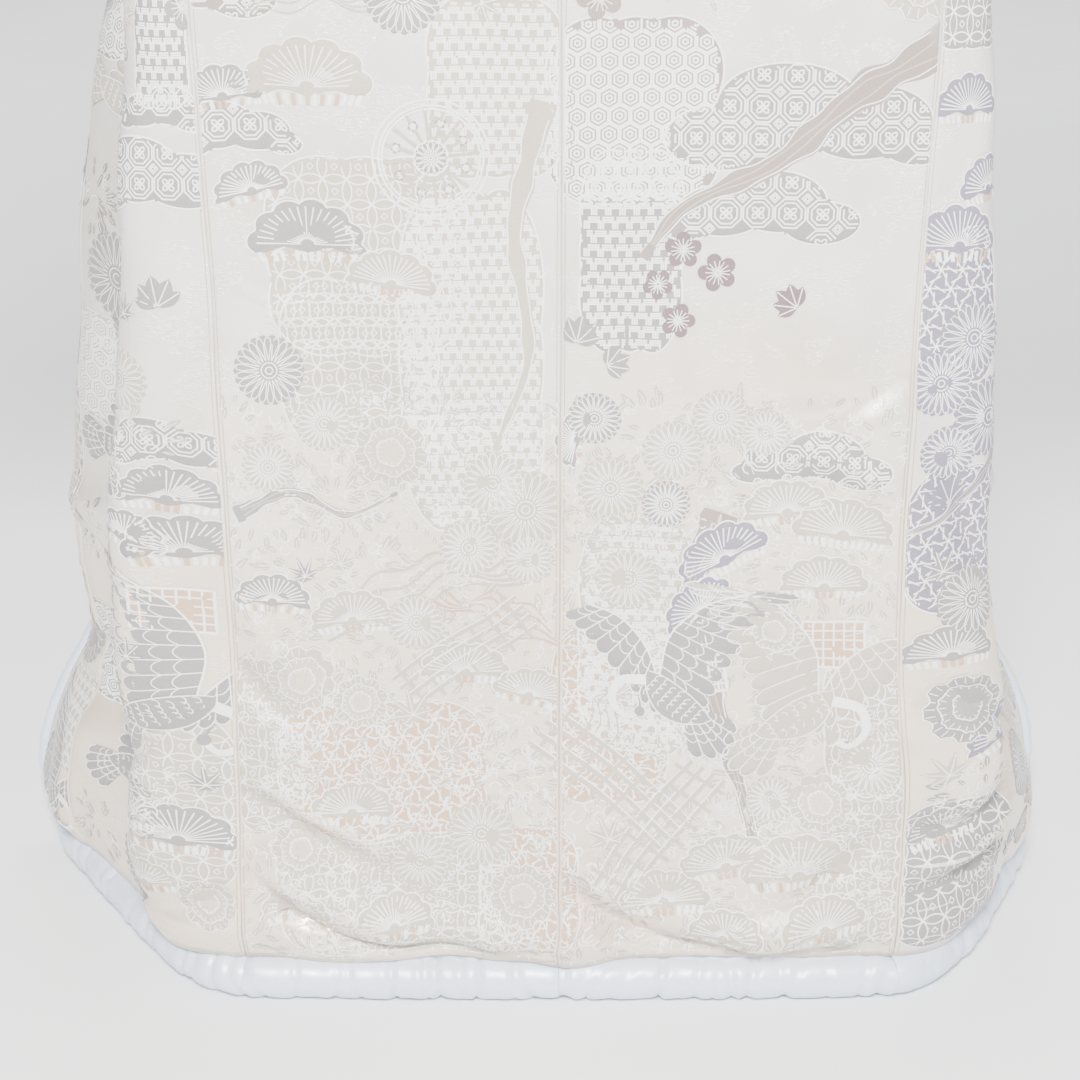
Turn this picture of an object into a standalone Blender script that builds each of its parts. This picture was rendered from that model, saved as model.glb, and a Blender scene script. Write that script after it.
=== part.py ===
"""Uchikake, a full-length wedding kimono, worn open with its padded hem on the floor.

Metres, +Z up. The origin is the middle of the shoulder line, where a wearer holds the garment up.
The back faces -Y and the fronts open towards +Y. Heights are counted from the floor that the hem
touches, and depths from the upright plane of the back, then both are moved to the origin.
"""
from collections import namedtuple
from math import cos, pi, radians, sin, sqrt

import bmesh
import bpy
import numpy as np

# ---------------------------------------------------------------- sizes of the garment
SHOULDER_HEIGHT = 1.850      # shoulder line above the floor
SHOULDER_DEPTH = 0.100       # shoulder line in front of the plane of the back
SHOULDER_SLOPE = 0.025       # drop of the shoulder from the neck to the armhole
WALL = 0.0020                # brocade with its lining
SEAM_GAP = 0.0003            # between two pieces at a seam

BACK_WIDTH = 0.310           # centre back seam to side seam
FRONT_WIDTH = 0.250          # side seam to the seam of the overlap panel
OVERLAP_WIDTH = 0.155        # overlap panel, up to the collar's lower end
SHOULDER_WIDTH = 0.330       # centre to armhole
NECK_HALF_WIDTH = 0.090
NECK_DROP = 0.020            # back of the neck below the shoulder line

COLLAR_WIDTH = 0.075         # collar in front
COLLAR_NECK_WIDTH = 0.058    # collar behind the neck
COLLAR_END_HEIGHT = 0.950    # lower end of the collar
OVERLAP_TIP_WIDTH = 0.001    # at the upper point of the overlap panel

SLEEVE_WIDTH = 0.350
SLEEVE_DROP = 0.860
SLEEVE_SEAM_LENGTH = 0.230   # sewn to the body on each side of the shoulder
SIDE_OPENING_LENGTH = 0.130  # open below the sleeve, above the side seam
CUFF_OPENING = 0.230
SLEEVE_CORNER = 0.090        # round lower outer corner
SLEEVE_TOP_HALF_DEPTH = 0.055
SLEEVE_LOW_HALF_DEPTH = 0.018
SLEEVE_EDGE_HALF_DEPTH = 0.006
SLEEVE_SWING = 0.060         # how far the low end hangs out from the armhole, clear of the body

ROLL_HEIGHT = 0.042          # padded hem roll
ROLL_DEPTH = 0.040
ROLL_TIP = 0.45              # share of the roll's size that is left at the front corner
EDGE_ROLL_SIZE = 0.016       # padded front edge at the hem
EDGE_ROLL_END = 0.005        # and at the collar's end
HEM_HEIGHT = ROLL_HEIGHT + 2 * SEAM_GAP

ARM_CENTRE = SHOULDER_DEPTH
ARM_TOP = SHOULDER_HEIGHT - SHOULDER_SLOPE
ARMHOLE_END = ARM_TOP - SLEEVE_SEAM_LENGTH
SIDE_SEAM_TOP = ARMHOLE_END - SIDE_OPENING_LENGTH
OVERLAP_TOP_HEIGHT = ARMHOLE_END

# Heights of the rows of points, closer together near the hem, the same in all pieces that join.
SKIRT_ROWS = [HEM_HEIGHT, 0.07, 0.10, 0.135, 0.17, 0.21, 0.25, 0.29, 0.34, 0.40, 0.48, 0.56, 0.65, 0.78]
SKIRT_ROWS = SKIRT_ROWS + [0.87]
CHEST_ROWS = [COLLAR_END_HEIGHT, 1.04, 1.12, 1.20, 1.28, 1.35, 1.40, 1.43]
CHEST_ROWS = CHEST_ROWS + [SIDE_SEAM_TOP, SIDE_SEAM_TOP + 0.03, SIDE_SEAM_TOP + 0.08, ARMHOLE_END]
NECK_ROWS = [1.66, 1.72]

# ---------------------------------------------------------------- colours
BROCADE = (0.90, 0.89, 0.87)
COLLAR_CLOTH = (0.90, 0.89, 0.87)
HEM_SILK = (0.86, 0.89, 0.93)

# ---------------------------------------------------------------- sections of the skirt and bodice
# A row is one level cut. Each place is its distance out from the centre (out) and its depth (in):
# side seam, the ridge where the front panel turns forwards, the hollow behind it, the seam of the
# overlap panel, and the front edge. "back" is the depth of the centre back seam.
Section = namedtuple(
    "Section",
    "height back side_out side_in ridge_out ridge_in hollow_out hollow_in seam_out seam_in edge_out edge_in",
)

LEFT_SECTIONS = [
    Section(0.02, 0.000, 0.300, 0.004, 0.362, 0.045, 0.410, 0.115, 0.478, 0.225, 0.545, 0.330),
    Section(0.10, -0.012, 0.302, -0.004, 0.394, 0.036, 0.425, 0.120, 0.497, 0.215, 0.545, 0.335),
    Section(0.18, -0.006, 0.300, 0.000, 0.402, 0.030, 0.415, 0.118, 0.490, 0.205, 0.524, 0.340),
    Section(0.26, 0.000, 0.299, 0.000, 0.405, 0.028, 0.400, 0.110, 0.462, 0.205, 0.485, 0.345),
    Section(0.40, 0.000, 0.298, 0.000, 0.407, 0.028, 0.398, 0.104, 0.474, 0.212, 0.462, 0.355),
    Section(0.65, 0.000, 0.300, 0.000, 0.393, 0.024, 0.385, 0.098, 0.450, 0.205, 0.425, 0.350),
    Section(0.91, 0.000, 0.306, 0.000, 0.363, 0.024, 0.362, 0.092, 0.410, 0.192, 0.355, 0.325),
    Section(1.20, 0.000, 0.314, 0.022, 0.346, 0.052, 0.340, 0.118, 0.286, 0.215, 0.185, 0.290),
    Section(1.46, 0.002, 0.324, 0.080, 0.298, 0.150, 0.246, 0.195, 0.168, 0.232, 0.090, 0.262),
    Section(1.60, 0.004, 0.329, 0.100, 0.250, 0.176, 0.188, 0.198, 0.118, 0.216, 0.050, 0.232),
    Section(1.76, 0.012, 0.330, 0.100, 0.243, 0.168, 0.176, 0.180, 0.102, 0.188, 0.036, 0.198),
    Section(1.85, 0.030, 0.330, 0.100, 0.240, 0.163, 0.172, 0.170, 0.096, 0.176, 0.034, 0.184),
]
RIGHT_SECTIONS = [
    Section(0.02, 0.000, 0.321, 0.006, 0.390, 0.070, 0.425, 0.140, 0.462, 0.222, 0.500, 0.330),
    Section(0.10, -0.012, 0.322, 0.000, 0.405, 0.048, 0.452, 0.128, 0.478, 0.218, 0.500, 0.335),
    Section(0.18, -0.006, 0.323, 0.002, 0.410, 0.044, 0.452, 0.130, 0.466, 0.220, 0.478, 0.340),
    Section(0.26, 0.000, 0.318, 0.000, 0.422, 0.044, 0.416, 0.118, 0.428, 0.225, 0.432, 0.350),
    Section(0.40, 0.000, 0.308, 0.000, 0.399, 0.036, 0.392, 0.104, 0.420, 0.222, 0.416, 0.360),
    Section(0.65, 0.000, 0.309, 0.000, 0.380, 0.030, 0.366, 0.098, 0.402, 0.210, 0.378, 0.352),
    Section(0.91, 0.000, 0.314, 0.000, 0.360, 0.026, 0.350, 0.092, 0.382, 0.196, 0.330, 0.330),
    Section(1.20, 0.000, 0.316, 0.022, 0.346, 0.052, 0.336, 0.118, 0.280, 0.215, 0.178, 0.290),
    Section(1.46, 0.002, 0.324, 0.080, 0.298, 0.150, 0.246, 0.195, 0.168, 0.232, 0.090, 0.262),
    Section(1.60, 0.004, 0.329, 0.100, 0.250, 0.176, 0.188, 0.198, 0.118, 0.216, 0.050, 0.232),
    Section(1.76, 0.012, 0.330, 0.100, 0.243, 0.168, 0.176, 0.180, 0.102, 0.188, 0.036, 0.198),
    Section(1.85, 0.030, 0.330, 0.100, 0.240, 0.163, 0.172, 0.170, 0.096, 0.176, 0.034, 0.184),
]
RIDGE_ACROSS = 0.090         # cloth from the side seam to the ridge
HOLLOW_ACROSS = 0.160        # and to the hollow behind it

# The largest folds of the skirt. A row is a soft ridge, or a trough if its rise is negative, along
# a line from start to end: across is cloth from the centre back seam, + to the right.
Fold = namedtuple("Fold", "start_across start_height end_across end_height width rise")
FOLDS = [
    Fold(-0.290, 0.33, -0.120, 0.09, 0.045, 0.010),
    Fold(-0.250, 0.20, -0.060, 0.07, 0.030, -0.009),
    Fold(0.010, 0.38, 0.110, 0.19, 0.035, -0.008),
    Fold(0.040, 0.36, 0.170, 0.10, 0.040, 0.008),
    Fold(0.300, 0.28, 0.150, 0.08, 0.045, 0.011),
    Fold(0.280, 0.56, 0.180, 0.66, 0.040, 0.007),
    Fold(-0.100, 0.62, -0.240, 0.44, 0.050, 0.006),
    Fold(-0.420, 0.27, -0.640, 0.20, 0.030, -0.012),
    Fold(0.400, 0.27, 0.640, 0.22, 0.030, -0.012),
    Fold(-0.400, 0.14, -0.660, 0.09, 0.035, 0.008),
    Fold(0.400, 0.15, 0.660, 0.10, 0.035, 0.008),
]

# ---------------------------------------------------------------- curves


def smooth(value):
    """0 to 1 with level ends."""
    value = min(max(value, 0.0), 1.0)
    return value * value * (3 - 2 * value)


def curve_through(places, values, at):
    """A smooth curve through values at the given places, read at one place."""
    places = np.asarray(places, float)
    values = np.asarray(values, float)
    slopes = np.gradient(values, places, axis=0)
    n = int(np.clip(np.searchsorted(places, at) - 1, 0, len(places) - 2))
    span = places[n + 1] - places[n]
    t = min(max((at - places[n]) / span, 0.0), 1.0)
    start = values[n] * (2 * t**3 - 3 * t**2 + 1) + slopes[n] * span * (t**3 - 2 * t**2 + t)
    end = values[n + 1] * (3 * t**2 - 2 * t**3) + slopes[n + 1] * span * (t**3 - t**2)
    return start + end


def section_at(side, height):
    """The level cut at one height, between the rows of the table."""
    rows = LEFT_SECTIONS if side < 0 else RIGHT_SECTIONS
    heights = [row.height for row in rows]
    return Section(*curve_through(heights, rows, height))


def arm_half_depth(below):
    """Half the depth of the cloth round the arm, at a distance below the top of the shoulder."""
    if below < SLEEVE_TOP_HALF_DEPTH:
        turn = 1 - below / SLEEVE_TOP_HALF_DEPTH
        return SLEEVE_TOP_HALF_DEPTH * sqrt(max(1 - turn * turn, 0.0))
    share = (below - SLEEVE_TOP_HALF_DEPTH) / (SLEEVE_DROP - SLEEVE_TOP_HALF_DEPTH)
    return SLEEVE_TOP_HALF_DEPTH + (SLEEVE_LOW_HALF_DEPTH - SLEEVE_TOP_HALF_DEPTH) * smooth(share)


def side_gap(height):
    """Half the opening between back and front at the side: none below the side seam's top."""
    if height <= SIDE_SEAM_TOP:
        return 0.0
    rise = (height - SIDE_SEAM_TOP) / (ARMHOLE_END - SIDE_SEAM_TOP)
    return arm_half_depth(ARM_TOP - max(height, ARMHOLE_END)) * smooth(rise)


def overlap_visible_width(height):
    """Width of the overlap panel that shows, which the collar's seam cuts to a point."""
    if height < COLLAR_END_HEIGHT:
        return OVERLAP_WIDTH
    if height > OVERLAP_TOP_HEIGHT:
        return 0.0
    share = (OVERLAP_TOP_HEIGHT - height) / (OVERLAP_TOP_HEIGHT - COLLAR_END_HEIGHT)
    return max((OVERLAP_WIDTH - COLLAR_WIDTH) * share, OVERLAP_TIP_WIDTH)


def edge_across(height):
    """Cloth from the centre back seam to the front edge."""
    width = overlap_visible_width(height)
    if height >= COLLAR_END_HEIGHT:
        width = width + COLLAR_WIDTH
    return BACK_WIDTH + FRONT_WIDTH + width


def fold_rise(across, height):
    """How far the folds lift the cloth off its plain form."""
    rise = 0.0
    for fold in FOLDS:
        along = np.array([fold.end_across - fold.start_across, fold.end_height - fold.start_height])
        place = np.array([across - fold.start_across, height - fold.start_height])
        length = np.hypot(*along)
        travel = float(place @ along) / length
        aside = float(place[0] * along[1] - place[1] * along[0]) / length
        past = max(-travel, travel - length, 0.0)
        rise = rise + fold.rise * np.exp(-((aside / fold.width) ** 2) - (past / fold.width) ** 2)
    return rise


def body_point(side, across, height, part="wrap"):
    """A point of the cloth round the body, before it is moved to the origin."""
    cut = section_at(side, height)
    gap = side_gap(height)
    across = min(max(across, 0.0), edge_across(height))
    if across <= BACK_WIDTH and part != "front":
        share = across / BACK_WIDTH
        out = cut.side_out * share
        depth = cut.back + (cut.side_in - gap - cut.back) * share**3
        return np.array([out, depth, height])
    marks = [
        BACK_WIDTH - HOLLOW_ACROSS / 2,
        BACK_WIDTH,
        BACK_WIDTH + RIDGE_ACROSS,
        BACK_WIDTH + HOLLOW_ACROSS,
        BACK_WIDTH + FRONT_WIDTH,
        edge_across(height),
    ]
    parted = smooth((height - SIDE_SEAM_TOP + 0.15) / 0.20)
    lead_out = cut.side_out * marks[0] / BACK_WIDTH
    lead_out = lead_out + (2 * cut.side_out - cut.ridge_out - lead_out) * parted
    lead_in = cut.side_in + gap - (cut.ridge_in - cut.side_in - gap) * parted
    places = [
        (lead_out, lead_in),
        (cut.side_out, cut.side_in + gap),
        (cut.ridge_out, cut.ridge_in),
        (cut.hollow_out, cut.hollow_in),
        (cut.seam_out, cut.seam_in),
        (cut.edge_out, cut.edge_in),
    ]
    out, depth = curve_through(marks, places, max(across, BACK_WIDTH))
    if height >= SIDE_SEAM_TOP:
        out = min(out, SHOULDER_WIDTH)
    return np.array([out, depth, height])


def to_origin(side, point):
    """From distance out, depth and height to the part's own frame."""
    return (side * point[0], point[1] - SHOULDER_DEPTH, point[2] - SHOULDER_HEIGHT)


def lifted(side, across, height, part="wrap"):
    """A point of the cloth with its folds."""
    here = body_point(side, across, height, part)
    step = 0.004
    low = max(across - step, BACK_WIDTH if across > BACK_WIDTH else 0.0)
    before = body_point(side, low, height, part)
    after = body_point(side, low + 2 * step, height, part)
    run = after - before
    normal = np.array([run[1], -run[0], 0.0]) / max(np.hypot(run[0], run[1]), 1e-6)
    return here + normal * fold_rise(side * across, height)


def outward(run_across, run_up):
    """The unit way out of the cloth, from the ways across it and up it."""
    way = np.cross(run_across, run_up)
    return way / np.linalg.norm(way)


def cloth_pair(side, across, height, part):
    """The outer and inner points of the cloth's wall. The two pieces at a seam share their way in."""
    step = 0.006
    parted = height > SIDE_SEAM_TOP
    low = max(across - step, BACK_WIDTH if parted and part == "front" else 0.0)
    high = min(across + step, BACK_WIDTH if parted and part == "back" else edge_across(height))
    before = lifted(side, low, height, "back" if low < BACK_WIDTH else "front")
    after = lifted(side, high, height, "back" if high < BACK_WIDTH or parted and part == "back" else "front")
    below = lifted(side, across, height - step, part)
    above = lifted(side, across, height + step, part)
    outer = lifted(side, across, height, part)
    inner = outer - outward(after - before, above - below) * WALL
    return to_origin(side, outer), to_origin(side, inner)


def shoulder_top(out):
    """Height of the shoulder line at a distance out from the centre."""
    slope_length = (SHOULDER_WIDTH - NECK_HALF_WIDTH) * 0.7
    return SHOULDER_HEIGHT - SHOULDER_SLOPE * smooth((out - NECK_HALF_WIDTH) / slope_length)


def turn_height(out):
    """Height of the turn of the cloth over the shoulder."""
    share = smooth((out - NECK_HALF_WIDTH) / (SHOULDER_WIDTH - NECK_HALF_WIDTH))
    return 0.045 + (SLEEVE_TOP_HALF_DEPTH - 0.045) * share


def shoulder_point(side, share, angle):
    """A point of the turn over the shoulder: share 0 is the neck side and 1 the armhole."""
    neck = NECK_HALF_WIDTH * sqrt(sin(angle)) if angle < pi / 2 else NECK_HALF_WIDTH
    front_share = max(-cos(angle), 0.0)
    neck = neck + (section_at(side, SHOULDER_HEIGHT).seam_out - neck) * front_share
    out = neck + (SHOULDER_WIDTH - neck) * share
    base = shoulder_top(out) - turn_height(out)
    back = body_point(side, BACK_WIDTH * out / SHOULDER_WIDTH, base)[1]
    front_across = BACK_WIDTH + FRONT_WIDTH * (1 - share)
    front = body_point(side, front_across, base, "front")[1]
    middle = (back + front) / 2
    half = (front - back) / 2
    height = base + turn_height(out) * sin(angle)
    height = height - NECK_DROP * (1 - share) ** 2 * max(cos(angle), 0.0)
    return np.array([out, middle - half * cos(angle), height])


def shoulder_pair(side, share, angle):
    """The outer and inner points of the wall at the turn over the shoulder."""
    step = 0.02
    before = shoulder_point(side, max(share - step, 0.0), angle)
    after = shoulder_point(side, min(share + step, 1.0), angle)
    behind = shoulder_point(side, share, max(angle - step, 0.0))
    ahead = shoulder_point(side, share, min(angle + step, pi))
    outer = shoulder_point(side, share, angle)
    inner = outer - outward(after - before, ahead - behind) * WALL
    outer[0] = max(outer[0], SEAM_GAP / 2)
    inner[0] = max(inner[0], SEAM_GAP / 2)
    return to_origin(side, outer), to_origin(side, inner)


# ---------------------------------------------------------------- solids


def start_again():
    """Empty the scene."""
    for old in list(bpy.data.objects):
        bpy.data.objects.remove(old, do_unlink=True)


def cloth_material(name, colour, roughness):
    """A cloth with its colour and roughness."""
    material = bpy.data.materials.new(name)
    material.use_nodes = True
    shader = material.node_tree.nodes["Principled BSDF"]
    shader.inputs["Base Color"].default_value = (*colour, 1.0)
    shader.inputs["Roughness"].default_value = roughness
    shader.inputs["Metallic"].default_value = 0.0
    return material


def add_object(name, points, faces, material):
    """One named object from points and faces, shaded smooth."""
    mesh = bpy.data.meshes.new(name)
    mesh.from_pydata([tuple(point) for point in points], [], faces)
    mesh.materials.append(material)
    mesh.shade_smooth()
    piece = bpy.data.objects.new(name, mesh)
    bpy.context.scene.collection.objects.link(piece)
    return piece


def grid_faces(rows, columns, flip, closed=False):
    """Quads of a grid of points, row after row. A closed grid joins its last column to its first."""
    faces = []
    for row in range(rows - 1):
        for column in range(columns if closed else columns - 1):
            beside = (column + 1) % columns
            quad = [row * columns + column, row * columns + beside]
            quad += [(row + 1) * columns + beside, (row + 1) * columns + column]
            faces.append(quad[::-1] if flip else quad)
    return faces


def split_quads(faces, points):
    """Triangles of a list of faces, each quad split along its shorter diagonal."""
    triangles = []
    for face in faces:
        if len(face) == 3:
            triangles.append(face)
            continue
        a, b, c, d = face
        first = np.linalg.norm(np.subtract(points[a], points[c]))
        second = np.linalg.norm(np.subtract(points[b], points[d]))
        triangles += [[a, b, c], [a, c, d]] if first <= second else [[a, b, d], [b, c, d]]
    return triangles


def cloth_wall(name, pairs, faces, material):
    """A cloth from pairs of points, outer and inner, and its outer faces, closed round its edges.

    Both sides of the wall are split into the same triangles, so the wall is equally thick all over.
    """
    count = len(pairs)
    points = [pair[0] for pair in pairs] + [pair[1] for pair in pairs]
    faces = split_quads(faces, points)
    inner = [[count + corner for corner in face[::-1]] for face in faces]
    ways = set()
    for face in faces:
        ways.update(zip(face, face[1:] + face[:1]))
    edges = [way for way in sorted(ways) if way[::-1] not in ways]
    rim = [[end, start, count + start, count + end] for start, end in edges]
    return add_object(name, points, faces + inner + rim, material)


def cloth_grid(name, rows, material, flip):
    """A cloth from rows of pairs of points."""
    pairs = [pair for row in rows for pair in row]
    return cloth_wall(name, pairs, grid_faces(len(rows), len(rows[0]), flip), material)


def with_wall(piece):
    """The wall of the cloth, turned inwards from its outer face."""
    wall = piece.modifiers.new("Wall", "SOLIDIFY")
    wall.thickness = WALL
    wall.offset = -1.0
    wall.use_rim = True
    return piece


def body_rows(side):
    """Rows of the body panel: up the back, over the shoulder and down the front."""
    columns = 8
    shares = [n / (columns - 1) for n in range(columns)]
    heights = SKIRT_ROWS + CHEST_ROWS + NECK_ROWS
    half_gap = SEAM_GAP / 2
    rows = []
    for height in heights:
        places = [half_gap + (BACK_WIDTH - 2 * half_gap) * share for share in shares]
        rows.append([cloth_pair(side, across, height, "back") for across in places])
    for angle in [n * 15 for n in range(1, 12)]:
        rows.append([shoulder_pair(side, share, radians(angle)) for share in shares])
    outer = BACK_WIDTH + half_gap
    inner = BACK_WIDTH + FRONT_WIDTH - half_gap
    for height in heights[::-1]:
        places = [inner + (outer - inner) * share for share in shares]
        rows.append([cloth_pair(side, across, height, "front") for across in places])
    return rows


def body_panel(side, name, material):
    """One length of cloth from the back hem over the shoulder to the front hem."""
    return cloth_grid(name, body_rows(side), material, side < 0)


def overlap_panel(side, name, material):
    """The tapered panel between the front and the collar, narrower above the collar's end."""
    shares = [0.0, 0.2, 0.4, 0.6, 0.8, 1.0]
    hidden = [OVERLAP_WIDTH - COLLAR_WIDTH / 2, OVERLAP_WIDTH]
    start = BACK_WIDTH + FRONT_WIDTH
    pairs = []
    for height in SKIRT_ROWS + CHEST_ROWS:
        end = overlap_visible_width(max(height, COLLAR_END_HEIGHT)) - SEAM_GAP / 2
        places = [SEAM_GAP / 2 + (end - SEAM_GAP / 2) * share for share in shares]
        if height <= COLLAR_END_HEIGHT:
            places = places + hidden
        pairs += [cloth_pair(side, start + place, height, "front") for place in places]
    wide_rows = len(SKIRT_ROWS) + 1
    wide = len(shares) + len(hidden)
    faces = grid_faces(wide_rows, wide, side < 0)
    first = (wide_rows - 1) * wide
    narrow_rows = len(CHEST_ROWS) - 1
    upper = grid_faces(narrow_rows + 1, len(shares), side < 0)
    skip = wide - len(shares)
    for face in upper:
        faces.append([first + corner + (skip if corner >= len(shares) else 0) for corner in face])
    return cloth_wall(name, pairs, faces, material)


def collar_half(side):
    """Rows of the collar from its lower front end to the centre of the neck."""
    columns = 4
    rows = []
    for height in [COLLAR_END_HEIGHT + SEAM_GAP] + CHEST_ROWS[1:] + NECK_ROWS:
        start = BACK_WIDTH + FRONT_WIDTH + overlap_visible_width(height) + SEAM_GAP / 2
        end = edge_across(height)
        places = [start + (end - start) * n / (columns - 1) for n in range(columns)]
        rows.append([cloth_pair(side, across, height, "front") for across in places])
    front_lean = np.array([-1.0, 0.12, 0.0])
    top_lean = np.array([-0.62, 0.0, 0.78])
    back_lean = np.array([0.0, -0.30, 0.95])
    for angle in [n * 15 for n in range(11, -1, -1)]:
        turn = radians(angle)
        if angle >= 90:
            share = smooth((180 - angle) / 90)
            lean = front_lean + (top_lean - front_lean) * share
        else:
            lean = top_lean + (back_lean - top_lean) * smooth((90 - angle) / 90)
        lean = lean / np.linalg.norm(lean)
        edge = shoulder_point(side, 0.0, turn)
        behind = shoulder_point(side, 0.0, min(turn + 0.05, pi))
        ahead = shoulder_point(side, 0.0, max(turn - 0.05, 0.0))
        thickness = outward(behind - ahead, lean) * WALL
        narrowing = smooth((180 - angle) / 90)
        width = COLLAR_WIDTH + (COLLAR_NECK_WIDTH - COLLAR_WIDTH) * narrowing
        steps = [SEAM_GAP + (width - SEAM_GAP) * n / (columns - 1) for n in range(columns)]
        row = []
        for step in steps:
            outer = edge + lean * step
            inner = outer - thickness
            row.append((to_origin(side, outer), to_origin(side, inner)))
        rows.append(row)
    return rows


def collar(material):
    """One band from the left front, round the neck, to the right front."""
    left = collar_half(-1)
    right = collar_half(1)
    rows = left + right[-2::-1]
    return cloth_grid("collar", rows, material, True)


def sleeve_lowest(out):
    """Drop of the sleeve at a distance out, with its round outer corner."""
    start = SHOULDER_WIDTH + SLEEVE_WIDTH - SLEEVE_CORNER
    if out <= start:
        return SLEEVE_DROP
    reach = min((out - start) / SLEEVE_CORNER, 1.0)
    return SLEEVE_DROP - SLEEVE_CORNER * (1 - sqrt(1 - reach * reach))


def sleeve_ring(side, out, drops):
    """Points round the sleeve: down the front from the top, then up the back."""
    lowest = sleeve_lowest(out)
    end = SHOULDER_WIDTH + SLEEVE_WIDTH
    closing = smooth((out - end + 0.08) / 0.08)
    ring = []
    for sign, shares in ((1, drops), (-1, drops[-2:0:-1])):
        for share in shares:
            below = share * lowest
            half = arm_half_depth(below)
            half = half * sqrt(max(1 - max((share - 0.97) / 0.03, 0.0) ** 2, 0.0))
            shut = closing * smooth((below - CUFF_OPENING) / 0.06)
            half = half + (min(half, SLEEVE_EDGE_HALF_DEPTH) - half) * shut
            hang = max(below - SLEEVE_SEAM_LENGTH, 0.0) / (SLEEVE_DROP - SLEEVE_SEAM_LENGTH)
            swung = out + SLEEVE_SWING * hang
            ring.append(to_origin(side, (swung, ARM_CENTRE + sign * half, ARM_TOP - below)))
    return ring


def sleeve(side, name, material):
    """A long sleeve round the arm: open at the cuff, the armhole and the inner edge."""
    drops = [0.0, 0.008, 0.028, 0.064, 0.12, 0.19]
    drops += [SLEEVE_SEAM_LENGTH / SLEEVE_DROP, 0.30, 0.345, 0.42, 0.51, 0.61, 0.72, 0.85, 0.97, 0.99, 1.0]
    start = SHOULDER_WIDTH + SEAM_GAP
    outs = [start + (SLEEVE_WIDTH - SLEEVE_CORNER - SEAM_GAP) * n / 4 for n in range(5)]
    outs += [SHOULDER_WIDTH + SLEEVE_WIDTH - SLEEVE_CORNER * share for share in (0.66, 0.33, 0.10, 0.0)]
    rings = [sleeve_ring(side, out, drops) for out in outs]
    count = len(rings[0])
    points = [point for ring in rings for point in ring]
    faces = grid_faces(len(rings), count, side > 0, closed=True)
    last = (len(rings) - 1) * count
    shut_from = drops.index(0.345)
    for n in range(shut_from, len(drops) - 1):
        quad = [last + n, last + n + 1, last + count - n - 1, last + count - n]
        if n == len(drops) - 2:
            quad = [last + n, last + n + 1, last + count - n]
        faces.append(quad[::-1] if side > 0 else quad)
    return with_wall(add_object(name, points, split_quads(faces, points), material))


def roll_solid(name, centres, ways, sizes, flat_way, material):
    """A padded roll: rings square to its way along, with a flat face at each end."""
    sides = 10
    points = []
    for n, centre in enumerate(centres):
        along = ways[n] / np.linalg.norm(ways[n])
        aside = np.cross(along, flat_way)
        aside = aside / np.linalg.norm(aside)
        upward = np.cross(aside, along)
        for k in range(sides):
            turn = 2 * pi * (k + 0.5) / sides
            offset = aside * cos(turn) * sizes[n][0] / 2 + upward * sin(turn) * sizes[n][1] / 2
            points.append(tuple(np.array(centre) + offset))
    faces = grid_faces(len(centres), sides, False, closed=True)
    faces.append(list(range(sides))[::-1])
    faces.append([(len(centres) - 1) * sides + k for k in range(sides)])
    piece = add_object(name, points, faces, material)
    tidy = bmesh.new()
    tidy.from_mesh(piece.data)
    bmesh.ops.recalc_face_normals(tidy, faces=tidy.faces)
    tidy.to_mesh(piece.data)
    tidy.free()
    return piece


def hem_roll(side, name, start, end, material):
    """The padded roll along the hem between two places across the cloth."""
    steps = max(int((end - start) / 0.04), 4)
    reach = 0.015
    centres = []
    ways = []
    sizes = []
    for n in range(steps + 1):
        across = start + (end - start) * n / steps
        level = HEM_HEIGHT / 2 - SEAM_GAP
        corner = edge_across(0.0)
        share = ROLL_TIP + (1 - ROLL_TIP) * smooth((corner - across) / 0.11)
        height = ROLL_HEIGHT * share
        point = body_point(side, across, 0.02)
        way = body_point(side, across + reach, 0.02) - body_point(side, across - reach, 0.02)
        if across < reach:
            way = np.array([1.0, 0.0, 0.0])
        centres.append(to_origin(side, (point[0], point[1], level + (ROLL_HEIGHT - height) / 2)))
        ways.append(np.array([side * way[0], way[1], 0.0]))
        sizes.append((ROLL_DEPTH * share, height))
    return roll_solid(name, centres, ways, sizes, np.array([0.0, 0.0, 1.0]), material)


def edge_roll(side, name, material):
    """The padded front edge, thinning from the hem to the collar's end."""
    heights = SKIRT_ROWS + [COLLAR_END_HEIGHT - 0.01]
    centres = []
    ways = []
    sizes = []
    for height in heights:
        share = smooth((height - HEM_HEIGHT) / (COLLAR_END_HEIGHT - HEM_HEIGHT))
        size = EDGE_ROLL_SIZE + (EDGE_ROLL_END - EDGE_ROLL_SIZE) * share
        edge = lifted(side, edge_across(height), height, "front")
        inner = lifted(side, edge_across(height) - 0.01, height, "front")
        out_way = (edge - inner) / np.linalg.norm(edge - inner)
        normal = np.array([out_way[1], -out_way[0], 0.0])
        centre = edge + out_way * (size / 2 + 2 * SEAM_GAP) - normal * WALL / 2
        centres.append(to_origin(side, centre))
        ways.append(np.array([0.0, 0.0, 1.0]))
        sizes.append((size, size))
    return roll_solid(name, centres, ways, sizes, np.array([0.0, 1.0, 0.0]), material)


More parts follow.
